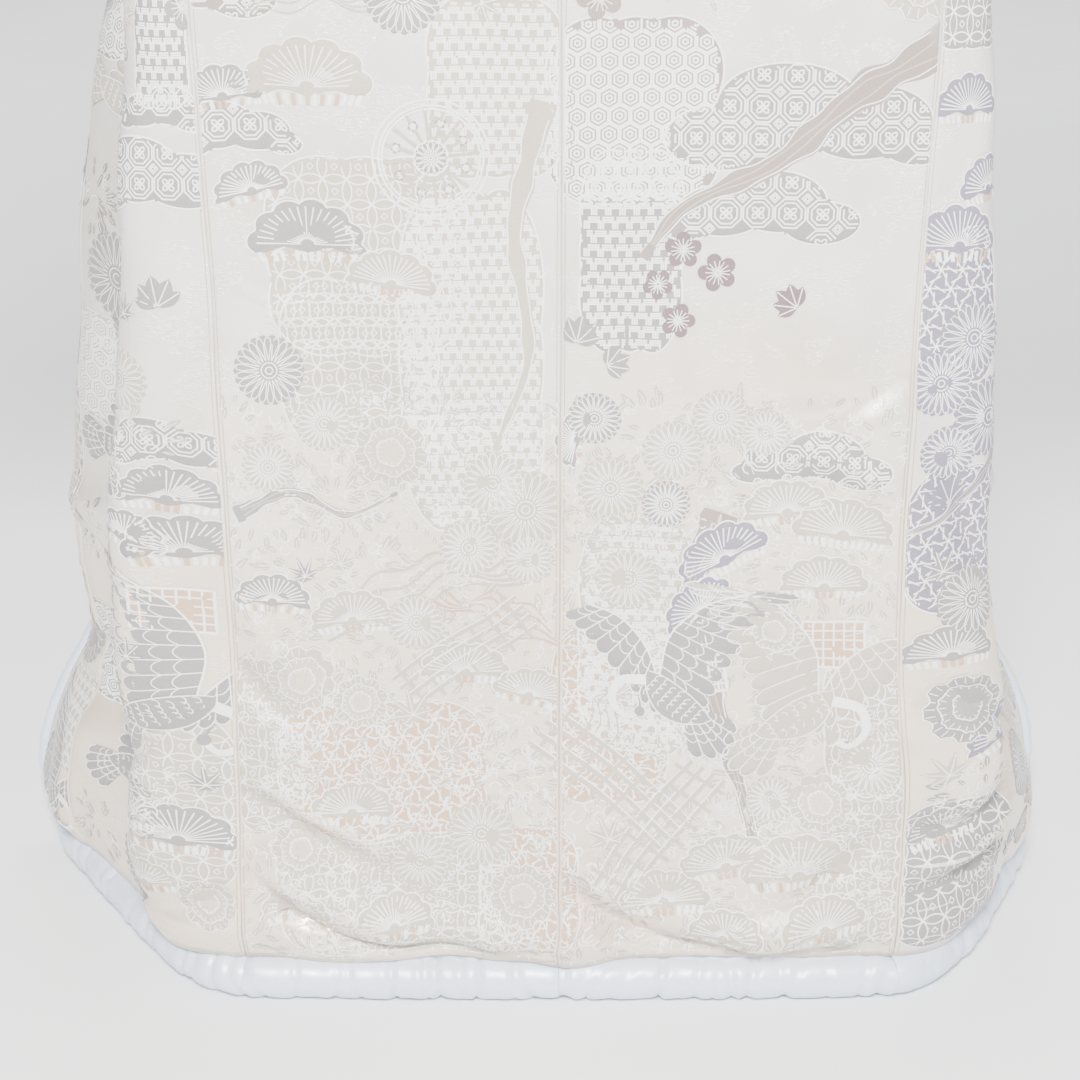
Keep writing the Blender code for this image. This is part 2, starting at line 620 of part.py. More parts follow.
def build():
    """All the pieces a maker would cut and sew."""
    start_again()
    brocade = cloth_material("brocade", BROCADE, 0.45)
    collar_cloth = cloth_material("collar_cloth", COLLAR_CLOTH, 0.45)
    hem_silk = cloth_material("hem_silk", HEM_SILK, 0.40)
    side_seam = BACK_WIDTH
    overlap_seam = BACK_WIDTH + FRONT_WIDTH
    for side, word in ((-1, "left"), (1, "right")):
        body_panel(side, f"body_{word}", brocade)
        overlap_panel(side, f"overlap_{word}", brocade)
        sleeve(side, f"sleeve_{word}", brocade)
        half_gap = SEAM_GAP / 2
        hem_roll(side, f"hem_roll_back_{word}", half_gap, side_seam - half_gap, hem_silk)
        hem_roll(side, f"hem_roll_front_{word}", side_seam + half_gap, overlap_seam - half_gap, hem_silk)
        hem_roll(side, f"hem_roll_corner_{word}", overlap_seam + half_gap, edge_across(0.0), hem_silk)
        edge_roll(side, f"edge_roll_{word}", hem_silk)
    collar(collar_cloth)


build()
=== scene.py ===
"""Uchikake wedding kimono: figured satin body, sleeves and collar, with a padded silk hem roll."""
import math
from collections import namedtuple

import bmesh
import bpy
import numpy as np
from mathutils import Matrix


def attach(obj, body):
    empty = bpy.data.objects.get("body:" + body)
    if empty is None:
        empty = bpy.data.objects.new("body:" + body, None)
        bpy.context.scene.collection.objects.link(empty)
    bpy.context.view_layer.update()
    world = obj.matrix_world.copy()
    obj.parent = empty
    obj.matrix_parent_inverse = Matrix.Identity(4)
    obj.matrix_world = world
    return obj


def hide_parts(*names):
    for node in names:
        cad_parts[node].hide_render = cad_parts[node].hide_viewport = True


bl_info = {
    "name": "Uchikake wedding kimono",
    "version": (1, 0, 0),
    "blender": (4, 5, 0),
    "location": "3D View > Sidebar > Kimono",
    "description": "Makes the cloth, the woven figures and the padded hem of an open wedding kimono",
    "category": "Object",
}

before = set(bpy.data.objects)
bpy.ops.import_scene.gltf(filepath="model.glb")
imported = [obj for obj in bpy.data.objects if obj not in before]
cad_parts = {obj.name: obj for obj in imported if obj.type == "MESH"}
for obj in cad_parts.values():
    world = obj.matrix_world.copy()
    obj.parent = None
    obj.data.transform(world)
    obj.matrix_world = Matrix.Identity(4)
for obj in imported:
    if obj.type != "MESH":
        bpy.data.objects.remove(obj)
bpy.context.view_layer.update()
BODY = "root"

# ---- the cut, in metres
SHOULDER_HEIGHT = 1.850
SHOULDER_DEPTH = 0.100
SHOULDER_SLOPE = 0.025
BACK_WIDTH = 0.310
FRONT_WIDTH = 0.250
OVERLAP_WIDTH = 0.155
SHOULDER_WIDTH = 0.330
NECK_HALF_WIDTH = 0.090
NECK_DROP = 0.020
NECK_TURN_HEIGHT = 0.045
COLLAR_WIDTH = 0.075
COLLAR_NECK_WIDTH = 0.058
COLLAR_END_HEIGHT = 0.950
OVERLAP_TIP_WIDTH = 0.001
ROLL_DEPTH = 0.0405
ROLL_MIDDLE = 0.02
EDGE_ROLL_LOW = 0.016
EDGE_ROLL_TOP = 0.005
SLEEVE_WIDTH = 0.350
SLEEVE_DROP = 0.860
SLEEVE_SEAM_LENGTH = 0.230
SIDE_OPENING_LENGTH = 0.130
CUFF_OPENING = 0.230
SLEEVE_CORNER = 0.090
SLEEVE_TOP_HALF_DEPTH = 0.055
SLEEVE_LOW_HALF_DEPTH = 0.018
SLEEVE_EDGE_HALF_DEPTH = 0.006
SLEEVE_SWING = 0.060
ROLL_HEIGHT = 0.042
SEAM_GAP = 0.0003
HEM_HEIGHT = ROLL_HEIGHT + 2 * SEAM_GAP
ARM_TOP = SHOULDER_HEIGHT - SHOULDER_SLOPE
ARMHOLE_END = ARM_TOP - SLEEVE_SEAM_LENGTH
SIDE_SEAM_TOP = ARMHOLE_END - SIDE_OPENING_LENGTH
NECK_ROW = 1.72
FRONT_SEAM = BACK_WIDTH + FRONT_WIDTH
FULL_WIDTH = FRONT_SEAM + OVERLAP_WIDTH
RIDGE_ACROSS = 0.090
HOLLOW_ACROSS = 0.160

# Level cuts of the worn garment, one row a height: the depth of the centre back seam, then how far
# out and in the side seam, the ridge, the hollow, the overlap seam and the front edge lie.
Section = namedtuple(
    "Section",
    "height back side_out side_in ridge_out ridge_in hollow_out hollow_in seam_out seam_in edge_out edge_in",
)
UPPER_SECTIONS = [
    (1.46, 0.002, 0.324, 0.08, 0.298, 0.15, 0.246, 0.195, 0.168, 0.232, 0.09, 0.262),
    (1.6, 0.004, 0.329, 0.1, 0.25, 0.176, 0.188, 0.198, 0.118, 0.216, 0.05, 0.232),
    (1.76, 0.012, 0.33, 0.1, 0.243, 0.168, 0.176, 0.18, 0.102, 0.188, 0.036, 0.198),
    (1.85, 0.03, 0.33, 0.1, 0.24, 0.163, 0.172, 0.17, 0.096, 0.176, 0.034, 0.184),
]
LEFT_SECTIONS = [
    (0.02, 0.0, 0.3, 0.004, 0.362, 0.045, 0.41, 0.115, 0.478, 0.225, 0.545, 0.33),
    (0.1, -0.012, 0.302, -0.004, 0.394, 0.036, 0.425, 0.12, 0.497, 0.215, 0.545, 0.335),
    (0.18, -0.006, 0.3, 0.0, 0.402, 0.03, 0.415, 0.118, 0.49, 0.205, 0.524, 0.34),
    (0.26, 0.0, 0.299, 0.0, 0.405, 0.028, 0.4, 0.11, 0.462, 0.205, 0.485, 0.345),
    (0.4, 0.0, 0.298, 0.0, 0.407, 0.028, 0.398, 0.104, 0.474, 0.212, 0.462, 0.355),
    (0.65, 0.0, 0.3, 0.0, 0.393, 0.024, 0.385, 0.098, 0.45, 0.205, 0.425, 0.35),
    (0.91, 0.0, 0.306, 0.0, 0.363, 0.024, 0.362, 0.092, 0.41, 0.192, 0.355, 0.325),
    (1.2, 0.0, 0.314, 0.022, 0.346, 0.052, 0.34, 0.118, 0.286, 0.215, 0.185, 0.29),
    *UPPER_SECTIONS,
]
RIGHT_SECTIONS = [
    (0.02, 0.0, 0.321, 0.006, 0.39, 0.07, 0.425, 0.14, 0.462, 0.222, 0.5, 0.33),
    (0.1, -0.012, 0.322, 0.0, 0.405, 0.048, 0.452, 0.128, 0.478, 0.218, 0.5, 0.335),
    (0.18, -0.006, 0.323, 0.002, 0.41, 0.044, 0.452, 0.13, 0.466, 0.22, 0.478, 0.34),
    (0.26, 0.0, 0.318, 0.0, 0.422, 0.044, 0.416, 0.118, 0.428, 0.225, 0.432, 0.35),
    (0.4, 0.0, 0.308, 0.0, 0.399, 0.036, 0.392, 0.104, 0.42, 0.222, 0.416, 0.36),
    (0.65, 0.0, 0.309, 0.0, 0.38, 0.03, 0.366, 0.098, 0.402, 0.21, 0.378, 0.352),
    (0.91, 0.0, 0.314, 0.0, 0.36, 0.026, 0.35, 0.092, 0.382, 0.196, 0.33, 0.33),
    (1.2, 0.0, 0.316, 0.022, 0.346, 0.052, 0.336, 0.118, 0.28, 0.215, 0.178, 0.29),
    *UPPER_SECTIONS,
]

# Creases of the hanging cloth: a soft ridge, or a trough if rise is negative, along a bent line
# from start over middle to end. Across is cloth from the centre back seam, + to the right.
Fold = namedtuple(
    "Fold", "start_across start_height middle_across middle_height end_across end_height width rise"
)
LARGE_FOLDS = [
    (-0.29, 0.33, -0.22, 0.19, -0.12, 0.09, 0.045, 0.01),
    (-0.25, 0.2, -0.16, 0.12, -0.06, 0.07, 0.03, -0.009),
    (0.01, 0.38, 0.05, 0.28, 0.11, 0.19, 0.035, -0.008),
    (0.04, 0.36, 0.11, 0.22, 0.17, 0.1, 0.04, 0.008),
    (0.3, 0.28, 0.24, 0.17, 0.15, 0.08, 0.045, 0.011),
    (0.28, 0.56, 0.24, 0.61, 0.18, 0.66, 0.04, 0.007),
    (-0.1, 0.62, -0.17, 0.54, -0.24, 0.44, 0.05, 0.006),
    (-0.42, 0.27, -0.53, 0.235, -0.64, 0.2, 0.03, -0.012),
    (0.4, 0.27, 0.52, 0.245, 0.64, 0.22, 0.03, -0.012),
    (-0.4, 0.14, -0.53, 0.115, -0.66, 0.09, 0.035, 0.008),
    (0.4, 0.15, 0.53, 0.125, 0.66, 0.1, 0.035, 0.008),
]
SMALL_FOLDS = [
    (-0.3, 0.138, -0.2, 0.07, -0.01, 0.058, 0.012, -0.01),
    (-0.3, 0.165, -0.2, 0.1, -0.02, 0.085, 0.02, 0.007),
    (-0.305, 0.225, -0.24, 0.185, -0.17, 0.14, 0.011, -0.0055),
    (-0.305, 0.245, -0.24, 0.205, -0.15, 0.16, 0.014, 0.004),
    (-0.306, 0.355, -0.28, 0.32, -0.235, 0.29, 0.01, -0.005),
    (-0.3, 0.42, -0.27, 0.37, -0.22, 0.32, 0.014, 0.004),
    (0.004, 0.14, 0.09, 0.07, 0.29, 0.056, 0.013, -0.01),
    (0.01, 0.17, 0.1, 0.098, 0.28, 0.09, 0.02, 0.007),
    (0.304, 0.2, 0.24, 0.13, 0.16, 0.095, 0.013, -0.0045),
    (0.306, 0.3, 0.26, 0.25, 0.2, 0.215, 0.014, -0.004),
    (0.306, 0.64, 0.25, 0.6, 0.19, 0.59, 0.013, -0.004),
    (0.306, 0.52, 0.26, 0.545, 0.205, 0.56, 0.012, 0.004),
    (-0.306, 0.72, -0.26, 0.69, -0.2, 0.68, 0.014, 0.003),
    (-0.2, 0.64, -0.14, 0.6, -0.06, 0.59, 0.018, -0.003),
    (-0.12, 0.5, -0.08, 0.42, -0.02, 0.38, 0.018, 0.003),
    (0.02, 0.72, 0.06, 0.66, 0.08, 0.56, 0.016, -0.003),
    (0.315, 0.18, 0.38, 0.175, 0.45, 0.2, 0.012, -0.006),
    (0.315, 0.11, 0.38, 0.12, 0.45, 0.15, 0.012, -0.006),
    (0.315, 0.145, 0.39, 0.148, 0.46, 0.175, 0.013, 0.006),
    (0.32, 0.33, 0.37, 0.3, 0.42, 0.25, 0.013, -0.005),
    (0.34, 0.56, 0.37, 0.47, 0.395, 0.4, 0.013, -0.003),
    (-0.32, 0.12, -0.38, 0.085, -0.45, 0.08, 0.012, -0.006),
    (-0.325, 0.3, -0.37, 0.27, -0.42, 0.23, 0.012, -0.005),
    (-0.33, 0.6, -0.36, 0.52, -0.39, 0.45, 0.013, -0.003),
    (-0.43, 0.32, -0.52, 0.29, -0.62, 0.27, 0.014, -0.006),
    (-0.45, 0.5, -0.52, 0.44, -0.6, 0.43, 0.018, 0.006),
    (0.43, 0.34, 0.52, 0.3, 0.62, 0.29, 0.014, -0.006),
    (0.45, 0.52, 0.52, 0.47, 0.6, 0.45, 0.018, 0.006),
    (-0.25, 1.38, -0.16, 1.42, -0.06, 1.4, 0.025, -0.004),
    (0.25, 1.36, 0.15, 1.4, 0.05, 1.41, 0.025, -0.004),
    (-0.28, 1.24, -0.19, 1.26, -0.1, 1.23, 0.022, 0.003),
    (0.285, 1.22, 0.2, 1.24, 0.11, 1.215, 0.022, 0.003),
    (-0.4, 1.3, -0.45, 1.15, -0.48, 0.95, 0.02, -0.005),
    (0.4, 1.3, 0.45, 1.14, 0.485, 0.95, 0.02, -0.005),
    (-0.48, 1.5, -0.42, 1.42, -0.35, 1.38, 0.02, 0.005),
    (0.48, 1.49, 0.42, 1.41, 0.35, 1.37, 0.02, 0.005),
]
CREASING = 1.8
FOLDS = [Fold(*row) for row in LARGE_FOLDS]
FOLDS += [Fold(*row[:-1], CREASING * row[-1]) for row in SMALL_FOLDS]
# Long low waves of the whole cloth: share of a turn each metre across and up, start, and height.
Wave = namedtuple("Wave", "across_turns up_turns start rise")
WAVES = [
    Wave(5.3, 1.1, 0.20, 0.0030),
    Wave(3.1, -2.3, 0.55, 0.0026),
    Wave(9.7, 2.9, 0.80, 0.0012),
    Wave(2.0, 6.1, 0.10, 0.0014),
    Wave(13.0, -5.0, 0.35, 0.0008),
]


# ---- curves and the form of the cloth


def smooth(value):
    """0 to 1 with level ends."""
    value = np.clip(value, 0.0, 1.0)
    return value * value * (3 - 2 * value)


def slopes_along(places, values):
    """Slopes at each place of rows of values, as a smooth curve through them has."""
    steps = np.diff(places, axis=-1)[..., None]
    rises = np.diff(values, axis=-2) / steps
    slopes = np.empty_like(values)
    slopes[..., 0, :] = rises[..., 0, :]
    slopes[..., -1, :] = rises[..., -1, :]
    before = steps[..., :-1, :]
    after = steps[..., 1:, :]
    slopes[..., 1:-1, :] = (rises[..., :-1, :] * after + rises[..., 1:, :] * before) / (before + after)
    return slopes


def curve_through(places, values, at):
    """A smooth curve through rows of values, read at one place of each row."""
    count = places.shape[-1]
    slopes = slopes_along(places, values)
    which = np.clip(np.sum(places < at[..., None], axis=-1) - 1, 0, count - 2)
    rows = np.arange(len(at))
    start = places[rows, which]
    span = places[rows, which + 1] - start
    t = np.clip((at - start) / span, 0.0, 1.0)[:, None]
    span = span[:, None]
    low = values[rows, which] * (2 * t**3 - 3 * t**2 + 1)
    low = low + slopes[rows, which] * span * (t**3 - 2 * t**2 + t)
    high = values[rows, which + 1] * (3 * t**2 - 2 * t**3)
    return low + high + slopes[rows, which + 1] * span * (t**3 - t**2)


def section_at(side, height):
    """Columns of the level cuts at each height."""
    table = np.array(LEFT_SECTIONS if side < 0 else RIGHT_SECTIONS)
    places = np.broadcast_to(table[:, 0], (len(height), len(table)))
    values = np.broadcast_to(table, (len(height), *table.shape))
    return Section(*curve_through(places, values, height).T)


def arm_half_depth(below):
    """Half the depth of the cloth round the arm, at a distance below the top of the shoulder."""
    turn = np.clip(1 - below / SLEEVE_TOP_HALF_DEPTH, 0.0, 1.0)
    rounded = SLEEVE_TOP_HALF_DEPTH * np.sqrt(np.maximum(1 - turn * turn, 0.0))
    share = (below - SLEEVE_TOP_HALF_DEPTH) / (SLEEVE_DROP - SLEEVE_TOP_HALF_DEPTH)
    hanging = SLEEVE_TOP_HALF_DEPTH + (SLEEVE_LOW_HALF_DEPTH - SLEEVE_TOP_HALF_DEPTH) * smooth(share)
    return np.where(below < SLEEVE_TOP_HALF_DEPTH, rounded, hanging)


def side_gap(height):
    """Half the opening between back and front at the side: none below the side seam's top."""
    rise = (height - SIDE_SEAM_TOP) / (ARMHOLE_END - SIDE_SEAM_TOP)
    gap = arm_half_depth(ARM_TOP - np.maximum(height, ARMHOLE_END)) * smooth(rise)
    return np.where(height <= SIDE_SEAM_TOP, 0.0, gap)


def overlap_visible_width(height):
    """Width of the overlap panel that shows, which the collar's seam cuts to a point."""
    share = (ARMHOLE_END - height) / (ARMHOLE_END - COLLAR_END_HEIGHT)
    tapered = np.maximum((OVERLAP_WIDTH - COLLAR_WIDTH) * share, OVERLAP_TIP_WIDTH)
    width = np.where(height < COLLAR_END_HEIGHT, OVERLAP_WIDTH, tapered)
    return np.where(height > ARMHOLE_END, 0.0, width)


def edge_across(height):
    """Cloth from the centre back seam to the front edge."""
    collar = np.where(height >= COLLAR_END_HEIGHT, COLLAR_WIDTH, 0.0)
    return FRONT_SEAM + overlap_visible_width(height) + collar


def form_point(side, across, height, front):
    """Distance out, depth and height of the plain form of the cloth round the body."""
    cut = section_at(side, height)
    gap = side_gap(height)
    share = np.clip(across / BACK_WIDTH, 0.0, 1.0)
    back_out = cut.side_out * share
    back_in = cut.back + (cut.side_in - gap - cut.back) * share**3
    parted = smooth((height - SIDE_SEAM_TOP + 0.15) / 0.20)
    lead = BACK_WIDTH - HOLLOW_ACROSS / 2
    lead_out = cut.side_out * lead / BACK_WIDTH
    lead_out = lead_out + (2 * cut.side_out - cut.ridge_out - lead_out) * parted
    lead_in = cut.side_in + gap - (cut.ridge_in - cut.side_in - gap) * parted
    edge = edge_across(height)
    even = np.ones_like(height)
    marks = [lead * even, BACK_WIDTH * even, (BACK_WIDTH + RIDGE_ACROSS) * even]
    marks += [(BACK_WIDTH + HOLLOW_ACROSS) * even, FRONT_SEAM * even, edge]
    outs = [lead_out, cut.side_out, cut.ridge_out, cut.hollow_out, cut.seam_out, cut.edge_out]
    ins = [lead_in, cut.side_in + gap, cut.ridge_in, cut.hollow_in, cut.seam_in, cut.edge_in]
    values = np.stack([np.stack(outs, -1), np.stack(ins, -1)], -1)
    reach = np.clip(across, BACK_WIDTH, edge)
    found = curve_through(np.stack(marks, -1), values, reach)
    front_out = np.where(height >= SIDE_SEAM_TOP, np.minimum(found[:, 0], SHOULDER_WIDTH), found[:, 0])
    is_front = front | (across > BACK_WIDTH)
    out = np.where(is_front, front_out, back_out)
    depth = np.where(is_front, found[:, 1], back_in)
    return np.stack([out, depth, height], -1)


def fold_rise(across, height):
    """How far creases and waves lift the cloth off its plain form."""
    rise = np.zeros_like(across)
    steps = np.linspace(0.0, 1.0, 17)
    for fold in FOLDS:
        bend_across = 2 * fold.middle_across - (fold.start_across + fold.end_across) / 2
        bend_height = 2 * fold.middle_height - (fold.start_height + fold.end_height) / 2
        weights = ((1 - steps) ** 2, 2 * steps * (1 - steps), steps**2)
        line_across = weights[0] * fold.start_across + weights[1] * bend_across + weights[2] * fold.end_across
        line_height = weights[0] * fold.start_height + weights[1] * bend_height + weights[2] * fold.end_height
        reach = 3 * fold.width
        near = (across > line_across.min() - reach) & (across < line_across.max() + reach)
        near &= (height > line_height.min() - reach) & (height < line_height.max() + reach)
        if not near.any():
            continue
        here = np.stack([across[near], height[near]], -1)[:, None, :]
        starts = np.stack([line_across[:-1], line_height[:-1]], -1)
        runs = np.stack([np.diff(line_across), np.diff(line_height)], -1)
        share = np.sum((here - starts) * runs, -1) / np.sum(runs * runs, -1)
        share = np.clip(share, 0.0, 1.0)
        distance = np.linalg.norm(here - starts - share[..., None] * runs, axis=-1)
        nearest = distance.argmin(-1)
        along = (nearest + share[np.arange(len(nearest)), nearest]) / len(runs)
        ends = np.sqrt(np.clip(4.4 * along * (1 - along), 0.02, 1.0))
        rise[near] += fold.rise * ends * np.exp(-((distance.min(-1) / fold.width) ** 2))
    for wave in WAVES:
        turn = 2 * math.pi * (wave.across_turns * across + wave.up_turns * height + wave.start)
        rise += wave.rise * np.sin(turn) * smooth((ARM_TOP - height) / 0.3)
    return rise


def cloth_point(side, across, height, front):
    """A point of the cloth with its folds, in the part's own frame."""
    here = form_point(side, across, height, front)
    step = 0.004
    low = np.maximum(across - step, np.where(across > BACK_WIDTH, BACK_WIDTH, 0.0))
    run = form_point(side, low + 2 * step, height, front) - form_point(side, low, height, front)
    length = np.maximum(np.hypot(run[:, 0], run[:, 1]), 1e-6)
    rise = fold_rise(side * across, height)
    here[:, 0] += run[:, 1] / length * rise
    here[:, 1] -= run[:, 0] / length * rise
    return here


def to_origin(side, point):
    """From distance out, depth and height to the part's own frame."""
    depth = point[..., 1] - SHOULDER_DEPTH
    return np.stack([side * point[..., 0], depth, point[..., 2] - SHOULDER_HEIGHT], -1)


def shoulder_top(out):
    """Height of the shoulder line at a distance out from the centre."""
    share = (out - NECK_HALF_WIDTH) / (SHOULDER_WIDTH - NECK_HALF_WIDTH)
    return SHOULDER_HEIGHT - SHOULDER_SLOPE * smooth(share / 0.7)


def turn_height(out):
    """Height of the turn of the cloth over the shoulder."""
    share = smooth((out - NECK_HALF_WIDTH) / (SHOULDER_WIDTH - NECK_HALF_WIDTH))
    return NECK_TURN_HEIGHT + (SLEEVE_TOP_HALF_DEPTH - NECK_TURN_HEIGHT) * share


def shoulder_point(side, share, angle):
    """A point of the turn over the shoulder: share 0 is the neck side and 1 the armhole."""
    level = np.full_like(share, SHOULDER_HEIGHT)
    neck = np.where(angle < math.pi / 2, NECK_HALF_WIDTH * np.sqrt(np.sin(angle)), NECK_HALF_WIDTH)
    neck = neck + (section_at(side, level).seam_out - neck) * np.maximum(-np.cos(angle), 0.0)
    out = neck + (SHOULDER_WIDTH - neck) * share
    base = shoulder_top(out) - turn_height(out)
    no = np.zeros(len(share), bool)
    back = form_point(side, BACK_WIDTH * out / SHOULDER_WIDTH, base, no)[:, 1]
    front = form_point(side, BACK_WIDTH + FRONT_WIDTH * (1 - share), base, ~no)[:, 1]
    height = base + turn_height(out) * np.sin(angle)
    height = height - NECK_DROP * (1 - share) ** 2 * np.maximum(np.cos(angle), 0.0)
    depth = (back + front) / 2 - (front - back) / 2 * np.cos(angle)
    return np.stack([out, depth, height], -1)


# ---- surfaces that cloth and figures lie on


class Surface:
    """A grid of points of one cloth, with its ways out, read by cloth across and cloth up."""

    def __init__(self, points, across, up, side):
        self.points = points
        self.across = across
        self.up = up
        run = np.gradient(points, axis=1)
        rise = np.gradient(points, axis=0)
        way = np.cross(run, rise)
        way = way / np.maximum(np.linalg.norm(way, axis=-1, keepdims=True), 1e-12)
        self.ways = way * side

    def place(self, across, up, lift):
        """Points on the cloth, lifted off it."""
        order = np.argsort(self.across)
        columns = np.interp(across, self.across[order], np.arange(len(order))[order])
        order = np.argsort(self.up)
        rows = np.interp(up, self.up[order], np.arange(len(order))[order])
        c = np.clip(columns.astype(int), 0, len(self.across) - 2)
        r = np.clip(rows.astype(int), 0, len(self.up) - 2)
        x = (columns - c)[:, None]
        y = (rows - r)[:, None]
        found = []
        for grid in (self.points, self.ways):
            low = grid[r, c] * (1 - x) + grid[r, c + 1] * x
            high = grid[r + 1, c] * (1 - x) + grid[r + 1, c + 1] * x
            found.append(low * (1 - y) + high * y)
        return found[0] + found[1] * np.reshape(lift, (-1, 1))


def columns_between(start, end, step):
    """Places across a panel, closer together beside its seams."""
    width = end - start
    edge = np.array([0.0, 0.0016, 0.0036, 0.0065])
    if width < 0.03:
        return np.linspace(start, end, 5)
    middle = np.linspace(0.0065, width - 0.0065, max(int(width / step), 2))[1:-1]
    return start + np.concatenate([edge, middle, width - edge[::-1]])


SEAM_DIP = 0.0010
SEAM_REACH = 0.0032


def seam_dip(distance):
    """How far the cloth sinks beside a seam."""
    return SEAM_DIP * np.exp(-((distance / SEAM_REACH) ** 2))


def form_rows(side, heights, columns, front):
    """Rows of points of one panel, sunk a little at its seams."""
    up, across = np.meshgrid(heights, columns, indexing="ij")
    flat = cloth_point(side, across.ravel(), up.ravel(), np.full(across.size, front))
    return to_origin(side, flat).reshape(*across.shape, 3)


def shoulder_rows(side, angles, columns_share):
    """Rows of points of the turn over the shoulder."""
    turn, share = np.meshgrid(angles, columns_share, indexing="ij")
    flat = shoulder_point(side, share.ravel(), turn.ravel())
    flat[:, 0] = np.maximum(flat[:, 0], SEAM_GAP / 2)
    return to_origin(side, flat).reshape(*turn.shape, 3)


def blended(first, last, count):
    """Rows of points between two rows."""
    shares = np.linspace(0, 1, count + 2)[1:-1, None, None]
    return first * (1 - shares) + last * shares


def sunk(surface, distance):
    """The surface's points, sunk beside seams at the given distances."""
    surface.points = surface.points - surface.ways * seam_dip(distance)[..., None]
    return surface


GRID_STEP = 0.0085
SHOULDER_TURNS = np.radians(np.linspace(0, 180, 25))


def body_surfaces(side):
    """The back and the front of one body panel, each up to the shoulder line."""
    heights = np.arange(HEM_HEIGHT, NECK_ROW + 0.001, GRID_STEP)
    heights[-1] = NECK_ROW
    across = columns_between(SEAM_GAP / 2, BACK_WIDTH - SEAM_GAP / 2, GRID_STEP)
    share = (across - across[0]) / (across[-1] - across[0])
    back = form_rows(side, heights, across, False)
    turn = shoulder_rows(side, SHOULDER_TURNS[:13], share)
    back = np.concatenate([back, blended(back[-1], turn[0], 7), turn])
    over_front = shoulder_rows(side, SHOULDER_TURNS[:11:-1], share)
    front_across = BACK_WIDTH + SEAM_GAP / 2 + (FRONT_WIDTH - SEAM_GAP) * (1 - share)
    front = form_rows(side, heights, front_across, True)
    front = np.concatenate([front, blended(front[-1], over_front[0], 7), over_front])
    extra = NECK_ROW + 0.0072 * np.arange(1, len(back) - len(heights) + 1)
    up = np.concatenate([heights, extra])
    seam = np.minimum(across, BACK_WIDTH - across)
    below_sleeve = (up < SIDE_SEAM_TOP)[:, None]
    distance = np.where(below_sleeve, seam[None, :], across[None, :])
    back_surface = sunk(Surface(back, side * across, up, side), distance)
    seam = np.minimum(front_across - BACK_WIDTH, FRONT_SEAM - front_across)
    distance = np.where(below_sleeve, seam[None, :], (FRONT_SEAM - front_across)[None, :])
    front_surface = sunk(Surface(front, side * front_across, up, -side), distance)
    return back_surface, front_surface


def overlap_surface(side):
    """The overlap panel, all of its width below the collar's end and its point above."""
    low = np.arange(HEM_HEIGHT, COLLAR_END_HEIGHT, GRID_STEP)
    heights = np.concatenate([low, np.linspace(COLLAR_END_HEIGHT, ARMHOLE_END, 86)])
    visible = np.linspace(0, 1, 13)
    hidden = np.linspace(OVERLAP_WIDTH - COLLAR_WIDTH, OVERLAP_WIDTH, 11)[1:]
    rows = []
    for height in heights:
        width = overlap_visible_width(np.array([max(height, COLLAR_END_HEIGHT)]))[0] - SEAM_GAP / 2
        places = SEAM_GAP / 2 + (width - SEAM_GAP / 2) * visible
        rows.append(FRONT_SEAM + np.concatenate([places, hidden]))
    across = np.array(rows)
    up = np.repeat(heights[:, None], across.shape[1], axis=1)
    flat = cloth_point(side, across.ravel(), up.ravel(), np.full(across.size, True))
    points = to_origin(side, flat).reshape(*across.shape, 3)
    surface = Surface(points, side * across[0], heights, side)
    distance = np.abs(across - FRONT_SEAM)
    return sunk(surface, distance), across, len(low), len(visible)


def collar_grid():
    """Points of the collar band from the left front, round the neck, to the right front."""
    columns = np.array([0.0, 0.02, 0.06, 0.15, 0.3, 0.5, 0.7, 0.85, 0.94, 0.98, 1.0])
    heights = np.arange(COLLAR_END_HEIGHT + SEAM_GAP, NECK_ROW, 0.009)
    halves = []
    for side in (-1, 1):
        start = FRONT_SEAM + overlap_visible_width(heights) + SEAM_GAP / 2
        end = edge_across(heights)
        across = start[:, None] + (end - start)[:, None] * columns
        up = np.repeat(heights[:, None], len(columns), axis=1)
        flat = cloth_point(side, across.ravel(), up.ravel(), np.full(across.size, True))
        front = flat.reshape(*across.shape, 3)
        turns = np.radians(np.linspace(180, 0, 49))
        edge = shoulder_point(side, np.zeros(len(turns)), turns)
        front_lean = np.array([-1.0, 0.12, 0.0])
        top_lean = np.array([-0.62, 0.0, 0.78])
        back_lean = np.array([0.0, -0.30, 0.95])
        rising = smooth((math.pi - turns) / (math.pi / 2))[:, None]
        backing = smooth((math.pi / 2 - turns) / (math.pi / 2))[:, None]
        lean = front_lean + (top_lean - front_lean) * rising
        lean = lean + (back_lean - top_lean) * backing
        lean = lean / np.linalg.norm(lean, axis=1, keepdims=True)
        width = COLLAR_WIDTH + (COLLAR_NECK_WIDTH - COLLAR_WIDTH) * rising
        steps = SEAM_GAP + (width - SEAM_GAP) * columns
        turn = edge[:, None, :] + lean[:, None, :] * steps[..., None]
        whole = np.concatenate([front, blended(front[-1], turn[0], 6), turn])
        halves.append(to_origin(side, whole))
    points = np.concatenate([halves[0], halves[1][-2::-1]])
    return points, columns


